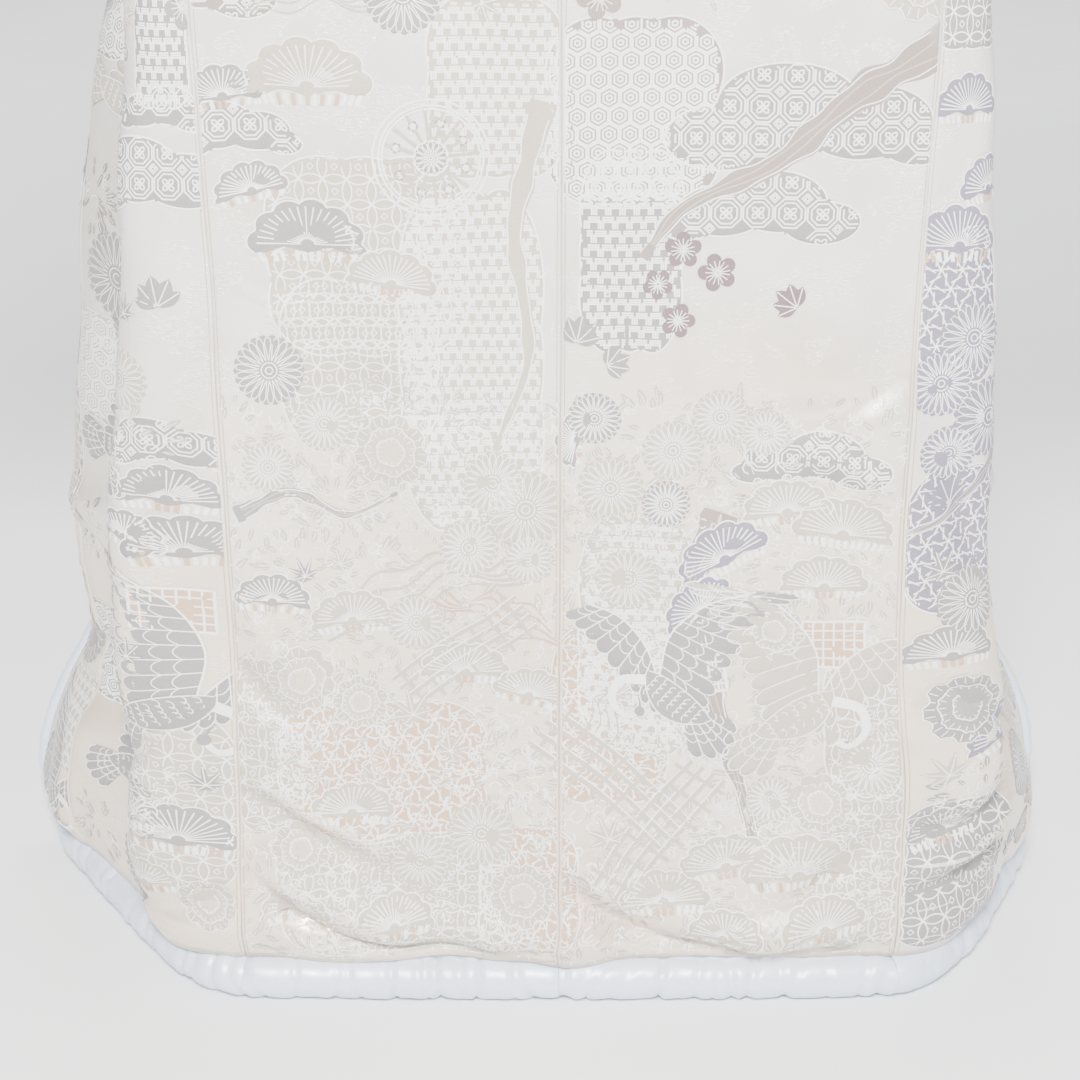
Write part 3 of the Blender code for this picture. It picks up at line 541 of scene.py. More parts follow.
def sleeve_surface(side, layer):
    """The back (-1) or front (+1) layer of a sleeve, from its lowest point to the top of the arm."""
    drops = np.concatenate([np.linspace(0, 1, 9) ** 2 * 0.064, np.linspace(0.064, 0.97, 94)[1:]])
    drops = np.concatenate([drops, [0.978, 0.985, 0.991, 0.996, 1.0]])[::-1]
    start = SHOULDER_WIDTH + SEAM_GAP
    end = SHOULDER_WIDTH + SLEEVE_WIDTH
    outs = columns_between(start, end, 0.0095)
    share, out = np.meshgrid(drops, outs, indexing="ij")
    corner = end - SLEEVE_CORNER
    reach = np.clip((out - corner) / SLEEVE_CORNER, 0.0, 1.0)
    lowest = SLEEVE_DROP - SLEEVE_CORNER * (1 - np.sqrt(np.maximum(1 - reach * reach, 0.0)))
    below = share * lowest
    half = arm_half_depth(below)
    half = half * np.sqrt(np.maximum(1 - np.maximum((share - 0.97) / 0.03, 0.0) ** 2, 0.0))
    closing = smooth((out - end + 0.08) / 0.08)
    shut = closing * smooth((below - CUFF_OPENING) / 0.06)
    half = half + (np.minimum(half, SLEEVE_EDGE_HALF_DEPTH) - half) * shut
    hang = np.maximum(below - SLEEVE_SEAM_LENGTH, 0.0) / (SLEEVE_DROP - SLEEVE_SEAM_LENGTH)
    swung = out + SLEEVE_SWING * hang
    sway = 0.010 * np.sin(2 * math.pi * (2.3 * out + 0.4 * layer) + 1.3 * side) * hang
    sway = sway + 0.004 * np.sin(2 * math.pi * (5.9 * out - 0.5 * below) + side) * hang
    sway = sway * (1 - 0.6 * shut)
    points = np.stack([swung, SHOULDER_DEPTH + layer * half + sway, ARM_TOP - below], -1)
    surface = Surface(to_origin(side, points), side * outs, ARM_TOP - drops * SLEEVE_DROP, -side * layer)
    return surface


# ---- meshes


def nothing_selected():
    """Deselects everything, so that an operator acts on its own piece only."""
    if bpy.context.object and bpy.context.object.mode != "OBJECT":
        bpy.ops.object.mode_set(mode="OBJECT")
    bpy.ops.object.select_all(action="DESELECT")


def only(piece):
    """Makes one piece the selected and active one."""
    nothing_selected()
    piece.select_set(True)
    bpy.context.view_layer.objects.active = piece


def grid_piece(name, points, cloth_uv, materials, outward_side):
    """A grid primitive whose corners are moved onto rows of points, with the cloth's own map."""
    rows, columns = points.shape[:2]
    nothing_selected()
    bpy.ops.mesh.primitive_grid_add(x_subdivisions=columns - 1, y_subdivisions=rows - 1, size=1.0)
    piece = bpy.context.object
    piece.name = name
    mesh = piece.data
    mesh.name = name
    if len(mesh.vertices) != rows * columns:
        raise RuntimeError(f"{name}: the grid has {len(mesh.vertices)} corners, not {rows * columns}")
    mesh.vertices.foreach_set("co", points.astype(np.float32).ravel())
    corners = np.empty(len(mesh.loops), np.int32)
    mesh.loops.foreach_get("vertex_index", corners)
    flat = cloth_uv.reshape(-1, 2)[corners].astype(np.float32)
    mesh.uv_layers[0].data.foreach_set("uv", flat.ravel())
    mesh.uv_layers[0].name = "cloth"
    if outward_side < 0:
        mesh.flip_normals()
    mesh.update()
    for material in materials:
        mesh.materials.append(material)
    only(piece)
    bpy.ops.object.shade_smooth()
    return piece


def cloth_piece(name, points, cloth_map, outward_side):
    """A grid piece with satin outside and lining silk inside."""
    return grid_piece(name, points, cloth_map, (finish("figured_satin"), finish("lining_silk")), outward_side)


def give_wall(piece):
    """A cloth's thickness, turned inwards, with the second finish on its inner face."""
    only(piece)
    wall = piece.modifiers.new("Wall", "SOLIDIFY")
    wall.thickness = bpy.context.scene.kimono_cloth.wall
    wall.offset = -1.0
    wall.material_offset = 1
    wall.material_offset_rim = 0
    bpy.ops.object.modifier_apply(modifier=wall.name)


def uv_of(across, up):
    """The cloth's map of a grid: its places across and up, in metres."""
    first, second = np.broadcast_arrays(across, up)
    return np.stack([first, second], -1)


# ---- finishes

# Tints of the figure threads.
WHITE = (0.93, 0.92, 0.90)
GREY = (0.29, 0.262, 0.262)
TAUPE = (0.32, 0.265, 0.235)
MAUVE = (0.20, 0.135, 0.145)
PEACH = (0.58, 0.40, 0.28)
LAVENDER = (0.23, 0.21, 0.27)
PALE = (0.52, 0.45, 0.375)


def new_material(name, roughness, sheen):
    """A material with its shader, sheen and roughness set on the shader's own sockets."""
    material = bpy.data.materials.new(name)
    material.use_nodes = True
    nodes = material.node_tree.nodes
    shader = nodes["Principled BSDF"]
    shader.inputs["Roughness"].default_value = roughness
    shader.inputs["Sheen Weight"].default_value = sheen
    shader.inputs["Sheen Roughness"].default_value = 0.35
    shader.inputs["Specular IOR Level"].default_value = 0.6
    return material, nodes, material.node_tree.links, shader


def scaled(nodes, links, source, scale):
    """A pattern's places, scaled along each way."""
    mapping = nodes.new("ShaderNodeMapping")
    mapping.inputs["Scale"].default_value = scale
    links.new(source, mapping.inputs["Vector"])
    return mapping.outputs["Vector"]


def noise(nodes, links, source, scale, detail=2.0, rough=0.5):
    """A noise pattern's value."""
    node = nodes.new("ShaderNodeTexNoise")
    node.inputs["Scale"].default_value = scale
    node.inputs["Detail"].default_value = detail
    node.inputs["Roughness"].default_value = rough
    links.new(source, node.inputs["Vector"])
    return node.outputs["Fac"]


def spread(nodes, links, value, low, high, to_low, to_high):
    """A value stretched from one range to another."""
    node = nodes.new("ShaderNodeMapRange")
    node.inputs["From Min"].default_value = low
    node.inputs["From Max"].default_value = high
    node.inputs["To Min"].default_value = to_low
    node.inputs["To Max"].default_value = to_high
    links.new(value, node.inputs["Value"])
    return node.outputs["Result"]


def mixed(nodes, links, factor, first, second, blend="MIX"):
    """Two colours mixed by a value."""
    node = nodes.new("ShaderNodeMix")
    node.data_type = "RGBA"
    node.blend_type = blend
    if hasattr(factor, "is_output"):
        links.new(factor, node.inputs[0])
    else:
        node.inputs[0].default_value = factor
    for socket, colour in ((node.inputs[6], first), (node.inputs[7], second)):
        if hasattr(colour, "is_output"):
            links.new(colour, socket)
        else:
            socket.default_value = (*colour, 1.0)
    return node.outputs[2]


def dimmed(nodes, links, colour, value):
    """A colour dimmed by a value."""
    grey = nodes.new("ShaderNodeCombineColor")
    for socket in grey.inputs:
        if socket.name in ("Red", "Green", "Blue"):
            links.new(value, socket)
    return mixed(nodes, links, 1.0, colour, grey.outputs["Color"], "MULTIPLY")


def bumped(nodes, links, shader, layers):
    """Relief from several patterns: each a height value, its depth in metres and its strength."""
    last = None
    for value, depth, strength in layers:
        bump = nodes.new("ShaderNodeBump")
        bump.inputs["Distance"].default_value = depth
        bump.inputs["Strength"].default_value = strength
        links.new(value, bump.inputs["Height"])
        if last:
            links.new(last, bump.inputs["Normal"])
        last = bump.outputs["Normal"]
    links.new(last, shader.inputs["Normal"])


def satin(name, light, shade, roughness, figured):
    """Silk satin: fine lines of floats, a slow random change of tone, painted shade that turns the colour warmer
    and darker towards the bottom of the garment, and woven squiggles.
    """
    material, nodes, links, shader = new_material(name, roughness, 0.05)
    shader.inputs["Metallic"].default_value = 0.35 if figured else 0.1
    cloth = nodes.new("ShaderNodeUVMap")
    cloth.uv_map = "cloth"
    place = nodes.new("ShaderNodeTexCoord").outputs["Object"]
    slow = spread(nodes, links, noise(nodes, links, place, 5.0, 3.0), 0.35, 0.65, -0.35, 0.35)
    parts = nodes.new("ShaderNodeSeparateXYZ")
    links.new(place, parts.inputs[0])
    # Painted shade: by height alone, the colour turns towards the shade colour below about 0.9 m over the floor,
    # and fully so below about 0.35 m; the slow noise adds a random change on top.
    lower = spread(nodes, links, parts.outputs["Z"], -0.95, -1.50, 0.0, 1.0)
    random_and_painted_shade = nodes.new("ShaderNodeMath")
    random_and_painted_shade.operation = "ADD"
    random_and_painted_shade.use_clamp = True
    links.new(slow, random_and_painted_shade.inputs[0])
    links.new(lower, random_and_painted_shade.inputs[1])
    colour = mixed(nodes, links, random_and_painted_shade.outputs[0], light, shade)
    floats = noise(nodes, links, scaled(nodes, links, cloth.outputs["UV"], (1400.0, 160.0, 1.0)), 1.0, 1.0)
    thread = spread(nodes, links, floats, 0.3, 0.7, 0.965, 1.0)
    colour = dimmed(nodes, links, colour, thread)
    layers = [(floats, 0.00012, 0.35)]
    if figured:
        flow = scaled(nodes, links, cloth.outputs["UV"], (190.0, 560.0, 1.0))
        squiggles = noise(nodes, links, flow, 1.0, 2.0, 0.6)
        worked = spread(nodes, links, squiggles, 0.52, 0.58, 0.0, 1.0)
        region = spread(nodes, links, noise(nodes, links, cloth.outputs["UV"], 26.0, 2.0), 0.50, 0.56, 0.0, 1.0)
        both = nodes.new("ShaderNodeMath")
        both.operation = "MULTIPLY"
        links.new(worked, both.inputs[0])
        links.new(region, both.inputs[1])
        dulled = spread(nodes, links, both.outputs[0], 0.0, 1.0, 0.0, 0.55)
        colour = mixed(nodes, links, dulled, colour, figured)
        layers.append((both.outputs[0], 0.0004, 0.6))
    links.new(colour, shader.inputs["Base Color"])
    rough = spread(nodes, links, floats, 0.3, 0.7, roughness - 0.06, roughness + 0.06)
    links.new(rough, shader.inputs["Roughness"])
    bumped(nodes, links, shader, layers)
    return material


def woven(name):
    """The threads of the figures: each shape's own tint, in short level stitches."""
    material, nodes, links, shader = new_material(name, 0.5, 0.2)
    cloth = nodes.new("ShaderNodeUVMap")
    cloth.uv_map = "cloth"
    tint = nodes.new("ShaderNodeAttribute")
    tint.attribute_name = "tint"
    flow = scaled(nodes, links, cloth.outputs["UV"], (330.0, 900.0, 1.0))
    stitches = noise(nodes, links, flow, 1.0, 2.0, 0.6)
    shade = spread(nodes, links, stitches, 0.35, 0.65, 0.86, 1.0)
    colour = dimmed(nodes, links, tint.outputs["Color"], shade)
    links.new(colour, shader.inputs["Base Color"])
    rough = spread(nodes, links, stitches, 0.35, 0.65, 0.42, 0.58)
    links.new(rough, shader.inputs["Roughness"])
    bumped(nodes, links, shader, [(stitches, 0.0003, 0.5)])
    return material


FINISHES = {}


def finish(name):
    """A finish by name, made once."""
    if name not in FINISHES:
        cloth = bpy.context.scene.kimono_cloth
        hem = bpy.context.scene.kimono_hem
        light = tuple(cloth.ground_colour)
        shade = tuple(cloth.ground_painted_shade)
        worked = tuple(cloth.worked_colour)
        makers = {
            "figured_satin": lambda: satin("figured_satin", light, shade, 0.34, worked),
            # The lining and the hem silk get the same painted shade towards the bottom: their second colour is
            # the painted shade, and the hem rolls, at the foot of the garment, show mostly that colour.
            "lining_silk": lambda: satin("lining_silk", (0.86, 0.85, 0.83), (0.84, 0.83, 0.81), 0.45, None),
            "hem_silk": lambda: satin("hem_silk", tuple(hem.colour), tuple(hem.shade), 0.38, None),
            "woven_figures": lambda: woven("woven_figures"),
        }
        FINISHES[name] = makers[name]()
    return FINISHES[name]


# ---- cloth pieces

SURFACES = {}


def side_word(side):
    """The piece names' word for a side."""
    return "left" if side < 0 else "right"


def hem_lip(surface, side):
    """Lets the low edge of a surface bulge over the hem roll and sag a little, unevenly."""
    up = surface.up[:, None]
    share = smooth((0.088 - up) / 0.05)
    places = surface.across[None, :]
    uneven = np.sin(31.0 * places + 2.0) + 0.6 * np.sin(73.0 * places + 0.5)
    over = np.exp(-(((up - 0.072) / 0.022) ** 2))
    bulge = (0.0040 + 0.0010 * uneven) * share + (0.0085 + 0.0022 * uneven) * over
    sag = 0.0008 * uneven * share * share
    surface.points = surface.points + surface.ways * bulge[..., None]
    surface.points[..., 2] -= sag
    return surface


def make_body(side):
    """One body panel, from the back hem over the shoulder to the front hem."""
    back, front = body_surfaces(side)
    hem_lip(back, side)
    hem_lip(front, side)
    points = np.concatenate([back.points, front.points[-2::-1]])
    back_map = uv_of(back.across[None, :], back.up[:, None])
    front_up = front.up[-2::-1]
    front_map = uv_of(front.across[None, :], front_up[:, None])
    cloth_map = np.concatenate([back_map, front_map])
    word = side_word(side)
    piece = cloth_piece(f"cloth_body_{word}", points, cloth_map, side)
    give_wall(piece)
    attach(piece, BODY)
    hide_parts(f"body_{word}")
    SURFACES[f"back_{word}"] = back
    SURFACES[f"front_{word}"] = front


def make_overlap(side):
    """One overlap panel: full width below the collar's end, and its narrowing strip above."""
    surface, across, low_rows, visible = overlap_surface(side)
    hem_lip(surface, side)
    points = surface.points
    word = side_word(side)
    cloth_map = uv_of(side * across, surface.up[:, None])
    piece = cloth_piece(f"cloth_overlap_{word}", points, cloth_map, side)
    only(piece)
    bpy.ops.object.mode_set(mode="EDIT")
    mesh = bmesh.from_edit_mesh(piece.data)
    columns = points.shape[1]
    for face in list(mesh.faces):
        corners = [vertex.index for vertex in face.verts]
        beyond = min(corner % columns for corner in corners) >= visible - 1
        above = min(corner // columns for corner in corners) >= low_rows
        if beyond and above:
            mesh.faces.remove(face)
    loose = [vertex for vertex in mesh.verts if not vertex.link_faces]
    for vertex in loose:
        mesh.verts.remove(vertex)
    bmesh.update_edit_mesh(piece.data)
    bpy.ops.object.mode_set(mode="OBJECT")
    give_wall(piece)
    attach(piece, BODY)
    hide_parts(f"overlap_{word}")
    SURFACES[f"overlap_{word}"] = surface


def make_collar():
    """The collar band."""
    points, columns = collar_grid()
    length = np.concatenate([[0.0], np.cumsum(np.linalg.norm(np.diff(points[:, 0], axis=0), axis=1))])
    cloth_map = uv_of(2.0 + COLLAR_WIDTH * columns[None, :], length[:, None])
    piece = cloth_piece("cloth_collar", points, cloth_map, -1)
    give_wall(piece)
    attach(piece, BODY)
    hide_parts("collar")


def make_sleeve(side):
    """One sleeve: a front and a back layer, closed below the cuff and open at its inner edge."""
    front = sleeve_surface(side, 1)
    back = sleeve_surface(side, -1)
    points = np.concatenate([front.points, back.points[-2::-1]])
    front_map = uv_of(front.across[None, :], front.up[:, None])
    back_up = back.up[-2::-1]
    back_map = uv_of(side * 3.0 + back.across[None, :], back_up[:, None])
    word = side_word(side)
    cloth_map = np.concatenate([front_map, back_map])
    piece = cloth_piece(f"cloth_sleeve_{word}", points, cloth_map, -side)
    only(piece)
    bpy.ops.object.mode_set(mode="EDIT")
    mesh = bmesh.from_edit_mesh(piece.data)
    mesh.verts.ensure_lookup_table()
    rows, columns = points.shape[:2]
    shut = np.nonzero(front.up < ARM_TOP - CUFF_OPENING - 0.07)[0]
    for row in shut[:-1]:
        near = [row * columns + columns - 1, (row + 1) * columns + columns - 1]
        far = [(rows - 2 - row) * columns + columns - 1, (rows - 1 - row) * columns + columns - 1]
        corners = [mesh.verts[index] for index in (near[0], near[1], far[0], far[1])]
        if side > 0:
            corners.reverse()
        mesh.faces.new(corners).smooth = True
    bmesh.ops.remove_doubles(mesh, verts=mesh.verts, dist=0.0001)
    bmesh.ops.recalc_face_normals(mesh, faces=mesh.faces)
    bmesh.update_edit_mesh(piece.data)
    bpy.ops.object.mode_set(mode="OBJECT")
    give_wall(piece)
    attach(piece, BODY)
    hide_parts(f"sleeve_{word}")
    SURFACES[f"sleeve_back_{word}"] = back
    SURFACES[f"sleeve_front_{word}"] = front


# ---- padded rolls


def pucker_places(length, seed):
    """Uneven places of the puckers along a roll, with how deep, how wide and how slanted each is."""
    chance = np.random.default_rng(seed)
    places = np.cumsum(chance.uniform(0.008, 0.040, int(length / 0.02) + 3)) - 0.01
    places = places[places < length + 0.01]
    depths = chance.uniform(0.35, 1.0, len(places))
    widths = chance.uniform(0.0018, 0.0048, len(places))
    slants = chance.uniform(-0.006, 0.018, len(places))
    return places, depths, widths, slants


def roll_rings(centres, ways, sizes, flat_way, seed, pucker):
    """Rings of a padded roll with puckers of its silk across it."""
    around = 30
    turns = 2 * math.pi * np.arange(around + 1) / around
    along = ways / np.linalg.norm(ways, axis=1, keepdims=True)
    aside = np.cross(along, flat_way)
    aside /= np.linalg.norm(aside, axis=1, keepdims=True)
    upward = np.cross(aside, along)
    run = np.concatenate([[0.0], np.cumsum(np.linalg.norm(np.diff(centres, axis=0), axis=1))])
    places, depths, widths, slants = pucker_places(run[-1], seed)
    offset = run[:, None, None] - places - slants * np.sin(turns - 0.6)[None, :, None]
    dips = (depths * np.exp(-((offset / widths) ** 2))).sum(-1)
    humps = (0.35 * depths * np.exp(-(((offset - 0.009) / (2.2 * widths)) ** 2))).sum(-1)
    slow = 0.35 * np.sin(run * 61.0 + seed)[:, None] + 0.2 * np.sin(run[:, None] * 143.0 + 2 * turns)
    change = -pucker * (dips - humps) + pucker * 0.5 * slow
    end = np.minimum(run, run[-1] - run)[:, None]
    tuck = 0.0016 * np.exp(-((end / 0.003) ** 2))
    shape = np.abs(np.cos(turns)) ** 4 * 0.03
    half_wide = sizes[:, :1] / 2 * (1.0 + shape) + (change - tuck) * sizes[:, :1] / ROLL_HEIGHT
    half_high = sizes[:, 1:] / 2 + np.minimum(change - tuck, 0.0006) * sizes[:, 1:] / ROLL_HEIGHT
    out = aside[:, None, :] * (np.cos(turns) * half_wide)[..., None]
    high = upward[:, None, :] * (np.sin(turns) * half_high)[..., None]
    return centres[:, None, :] + out + high, run, turns


def make_roll(name, node, rings, run, turns):
    """A closed roll from its rings, as a padded piece of hem silk."""
    cloth_map = uv_of(0.02 * turns[None, :], run[:, None])
    piece = grid_piece(name, rings, cloth_map, (finish("hem_silk"),), 1)
    only(piece)
    bpy.ops.object.mode_set(mode="EDIT")
    bpy.ops.mesh.select_all(action="SELECT")
    bpy.ops.mesh.remove_doubles(threshold=0.00002)
    bpy.ops.mesh.select_all(action="DESELECT")
    bpy.ops.mesh.select_non_manifold()
    bpy.ops.mesh.edge_face_add()
    mesh = bmesh.from_edit_mesh(piece.data)
    ends = [face for face in mesh.faces if len(face.verts) > 4]
    for end in ends:
        bmesh.ops.poke(mesh, faces=[end])
    bmesh.ops.recalc_face_normals(mesh, faces=mesh.faces)
    bmesh.update_edit_mesh(piece.data)
    bpy.ops.object.mode_set(mode="OBJECT")
    only(piece)
    bpy.ops.object.shade_smooth_by_angle(angle=math.radians(60))
    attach(piece, BODY)
    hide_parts(node)
    return piece


def make_hem_roll(side, part, start, end, seed):
    """One stretch of the hem roll, between two places across the cloth."""
    step = 0.0035
    across = np.linspace(start, end, int((end - start) / step))
    level = np.full(len(across), ROLL_MIDDLE)
    no = np.zeros(len(across), bool)
    point = form_point(side, across, level, no)
    corner = edge_across(np.zeros(1))[0]
    past = np.minimum(across + 0.015, corner)
    way = form_point(side, past, level, no) - form_point(side, np.maximum(past - 0.03, 0.0), level, no)
    way[across < 0.015] = (1.0, 0.0, 0.0)
    share = 0.45 + 0.55 * smooth((corner - across) / 0.11)
    height = ROLL_HEIGHT * share
    middle = HEM_HEIGHT / 2 - SEAM_GAP + (ROLL_HEIGHT - height) / 2
    centres = np.stack([point[:, 0], point[:, 1], middle], -1)
    ways = np.stack([side * way[:, 0], way[:, 1], 0 * across], -1)
    sizes = np.stack([ROLL_DEPTH * share, height], -1)
    pucker = bpy.context.scene.kimono_hem.pucker
    up = np.array([0.0, 0.0, 1.0])
    rings, run, turns = roll_rings(to_origin(side, centres), ways, sizes, up, seed, pucker)
    word = side_word(side)
    make_roll(f"silk_roll_{part}_{word}", f"hem_roll_{part}_{word}", rings, run, turns)


def make_edge_roll(side, seed):
    """The padded front edge, thinning from the hem to the collar's end."""
    heights = np.arange(HEM_HEIGHT, COLLAR_END_HEIGHT - 0.01, 0.006)
    share = smooth((heights - HEM_HEIGHT) / (COLLAR_END_HEIGHT - HEM_HEIGHT))
    size = EDGE_ROLL_LOW + (EDGE_ROLL_TOP - EDGE_ROLL_LOW) * share
    yes = np.ones(len(heights), bool)
    edge_place = edge_across(heights)
    edge = cloth_point(side, edge_place, heights, yes)
    inner = cloth_point(side, edge_place - 0.01, heights, yes)
    out_way = (edge - inner) / np.linalg.norm(edge - inner, axis=1, keepdims=True)
    normal = np.stack([out_way[:, 1], -out_way[:, 0], 0 * heights], -1)
    wall = bpy.context.scene.kimono_cloth.wall
    centres = to_origin(side, edge + out_way * (size / 2 + 2 * SEAM_GAP)[:, None] - normal * wall / 2)
    ways = np.tile(np.array([0.0, 0.0, 1.0]), (len(heights), 1))
    sizes = np.stack([size, size], -1)
    forward = np.array([0.0, 1.0, 0.0])
    pucker = bpy.context.scene.kimono_hem.pucker
    rings, run, turns = roll_rings(centres, ways, sizes, forward, seed, pucker)
    word = side_word(side)
    make_roll(f"silk_edge_{word}", f"edge_roll_{word}", rings, run, turns)


# ---- woven figures

# How far a layer lies above the one below, the lowest above the cloth and an outline above it, and a
# thread's width.
STEP_UP = 0.00022
BASE_LIFT = 0.00032
EDGE_LIFT = 0.00008
THREAD = 0.0012


class Figures:
    """Shapes of one woven layer, in places across and up the cloth, each with its lift and tint."""

    def __init__(self):
        self.points = []
        self.tints = []
        self.faces = []
        self.count = 0

    def add(self, places, lift, faces, tint):
        """Adds a shape: its places, how high each lies, its triangles and its tint."""
        lift = np.broadcast_to(lift, len(places))
        self.points.append(np.column_stack([places, lift]))
        tint = np.asarray(tint, float)
        self.tints.append(np.broadcast_to(tint, (len(places), 3)))
        self.faces.append(np.asarray(faces, int) + self.count)
        self.count += len(places)

    def join(self, other):
        """Adds all of another layer's shapes."""
        self.points += other.points
        self.tints += other.tints
        self.faces += [faces + self.count for faces in other.faces]
        self.count += other.count

    def fill(self, outline, centre, level, tint):
        """A filled shape, highest inside and down on the cloth at its outline."""
        outline = np.asarray(outline, float)
        centre = np.asarray(centre, float)
        count = len(outline)
        top = BASE_LIFT + STEP_UP * level
        loops = [centre + (outline - centre) * share for share in (0.6, 0.975, 1.0)]
        lifts = [np.full(count, top)] * 2 + [np.full(count, EDGE_LIFT)]
        places = np.concatenate([centre[None, :], *loops])
        lift = np.concatenate([[top], *lifts])
        near = np.arange(count)
        beside = (near + 1) % count
        faces = [np.column_stack([np.zeros(count, int), 1 + near, 1 + beside])]
        for ring in range(len(loops) - 1):
            inner = 1 + ring * count
            outer = inner + count
            faces.append(np.column_stack([inner + near, outer + near, outer + beside]))
            faces.append(np.column_stack([inner + near, outer + beside, inner + beside]))
        self.add(places, lift, np.concatenate(faces), tint)

    def line(self, places, width, level, tint=WHITE):
        """A narrow ribbon of thread along places, a little above its own layer."""
        places = np.asarray(places, float)
        run = np.gradient(places, axis=0)
        length = np.maximum(np.hypot(run[:, 0], run[:, 1]), 1e-9)[:, None]
        aside = np.column_stack([-run[:, 1], run[:, 0]]) / length
        half = np.broadcast_to(width, len(places))[:, None] / 2
        count = len(places)
        near = np.arange(count - 1)
        faces = np.concatenate([
            np.column_stack([near, near + 1, count + near + 1]),
            np.column_stack([near, count + near + 1, count + near]),
        ])
        rows = np.concatenate([places - aside * half, places + aside * half])
        self.add(rows, BASE_LIFT + STEP_UP * (level + 0.6), faces, tint)

    def between(self, first, second, level, tint):
        """A filled strip between two edges, down on the cloth along both."""
        top = BASE_LIFT + STEP_UP * level
        shares = (0.0, 0.03, 0.35, 0.65, 0.97, 1.0)
        count = len(first)
        places = np.concatenate([first + (second - first) * share for share in shares])
        lift = np.full(len(places), top)
        lift[:count] = EDGE_LIFT
        lift[-count:] = EDGE_LIFT
        n = np.arange(count - 1)
        faces = []
        for row in range(0, count * (len(shares) - 1), count):
            faces.append(np.column_stack([row + n, row + count + n, row + count + n + 1]))
            faces.append(np.column_stack([row + n, row + count + n + 1, row + n + 1]))
        self.add(places, lift, np.concatenate(faces), tint)


def placed(places, x, y, turn=0.0, flip=1):
    """Places moved to x, y after a turn and a flip."""
    places = np.asarray(places, float) * (flip, 1)
    c = math.cos(turn)
    s = math.sin(turn)
    return np.column_stack([x + places[:, 0] * c - places[:, 1] * s, y + places[:, 0] * s + places[:, 1] * c])


def placer(x, y, turn, flip):
    """What moves a figure's own places to x, y after its turn and flip."""
    return lambda places: placed(places, x, y, turn, flip)


def toward(angle):
    """A step of one at an angle."""
    return np.array([math.cos(angle), math.sin(angle)])


def ring_of(radius, angle):
    """Places at a distance and an angle from the middle."""
    return np.column_stack([radius * np.cos(angle), radius * np.sin(angle)])


def arc(radius, start, end, count):
    """Places along an arc, angles in turns of a circle."""
    return ring_of(radius, 2 * math.pi * np.linspace(start, end, count))


def bent(points, count):
    """A smooth line through a few points."""
    points = np.asarray(points, float)
    run = np.concatenate([[0.0], np.cumsum(np.linalg.norm(np.diff(points, axis=0), axis=1))])
    at = np.linspace(0, run[-1], count)
    columns = np.broadcast_to(run, (count, len(run)))
    values = np.broadcast_to(points, (count, *points.shape))
    return curve_through(columns, values, at)


def pine(fig, x, y, size, turn=0.0, flip=1, tint=GREY, level=2):
    """A pine clump: a scalloped fan with rays, over a row of short stems."""
    lobes = 6
    angle = np.linspace(-0.02, 0.52, 61) * 2 * math.pi
    wave = np.abs(np.sin(lobes * (angle + 0.12))) ** 0.6
    radius = size * (0.90 + 0.13 * wave)
    top = np.column_stack([radius * np.cos(angle), 0.78 * radius * np.sin(angle)])
    base = np.column_stack([np.linspace(-size, size, 15)[1:-1], np.full(13, -0.06 * size)])
    base[:, 1] -= 0.05 * size * np.cos(base[:, 0] / size * 8)
    outline = np.concatenate([top, base])
    at = placer(x, y, turn, flip)
    fig.fill(at(outline), at([(0.0, 0.28 * size)])[0], level, tint)
    fig.line(at(top), THREAD * 1.2, level)
    for ray in np.linspace(0.015, 0.485, 19):
        way = np.array([math.cos(2 * math.pi * ray), 0.78 * math.sin(2 * math.pi * ray)])
        start = np.array([0.0, 0.03 * size]) + way * 0.12 * size
        fig.line(at(np.linspace(start, way * size * 0.86, 4)), np.linspace(0.7, 1.1, 4) * THREAD, level)
    count = max(int(size / 0.0036), 6)
    for place in np.linspace(-0.82, 0.82, count):
        x_place = place * size
        stem = [(x_place, -0.07 * size), (x_place * 0.96, -0.17 * size), (x_place * 0.9, -0.25 * size)]
        tone = WHITE if int(abs(place) * 40) % 3 else PEACH
        fig.line(at(bent(stem, 4)), size / count, level - 1, tone)


def chrysanthemum(fig, x, y, size, turn=0.0, flip=1, tint=PALE, level=3, petals=22):
    """A round many-petalled flower."""
    angle = np.linspace(0, 2 * math.pi, petals * 4 + 1)[:-1]
    radius = size * (0.88 + 0.12 * np.abs(np.cos(angle * petals / 2)) ** 0.7)
    outline = ring_of(radius, angle)
    at = placer(x, y, turn, flip)
    fig.fill(at(outline), (x, y), level, tint)
    for n in range(petals):
        way = 2 * math.pi * (n + 0.5) / petals
        half = math.pi / petals * 0.72
        tip = toward(way)
        left = toward(way - half)
        right = toward(way + half)
        petal = [tip * 0.28 * size, left * 0.62 * size, left * 0.86 * size, tip * 0.96 * size]
        petal += [right * 0.86 * size, right * 0.62 * size, tip * 0.28 * size]
        fig.line(at(bent(petal, 10)), THREAD * 0.75, level)
    for share in (0.10, 0.22):
        fig.line(at(arc(share * size, 0, 1, 17)), THREAD, level)


def blossom(fig, x, y, size, turn=0.0, flip=1, tint=MAUVE, level=4):
    """Five round petals with a pale heart."""
    at = placer(x, y, turn, flip)
    for n in range(5):
        way = toward(2 * math.pi * (n + 0.25) / 5)
        petal = way * 0.60 * size + arc(0.36 * size, 0, 1, 17)[:-1]
        fig.fill(at(petal), at([way * 0.60 * size])[0], level, tint)
        for lean in (-0.45, 0.0, 0.45):
            spoke = placed([(0.18 * size, 0.0), (0.40 * size, 0.0), (0.60 * size, 0.0)], 0, 0, lean)
            spoke = placed(spoke, 0, 0, 2 * math.pi * (n + 0.25) / 5)
            fig.line(at(spoke), THREAD * 0.7, level)
    fig.line(at(arc(0.13 * size, 0, 1, 13)), THREAD, level + 1)


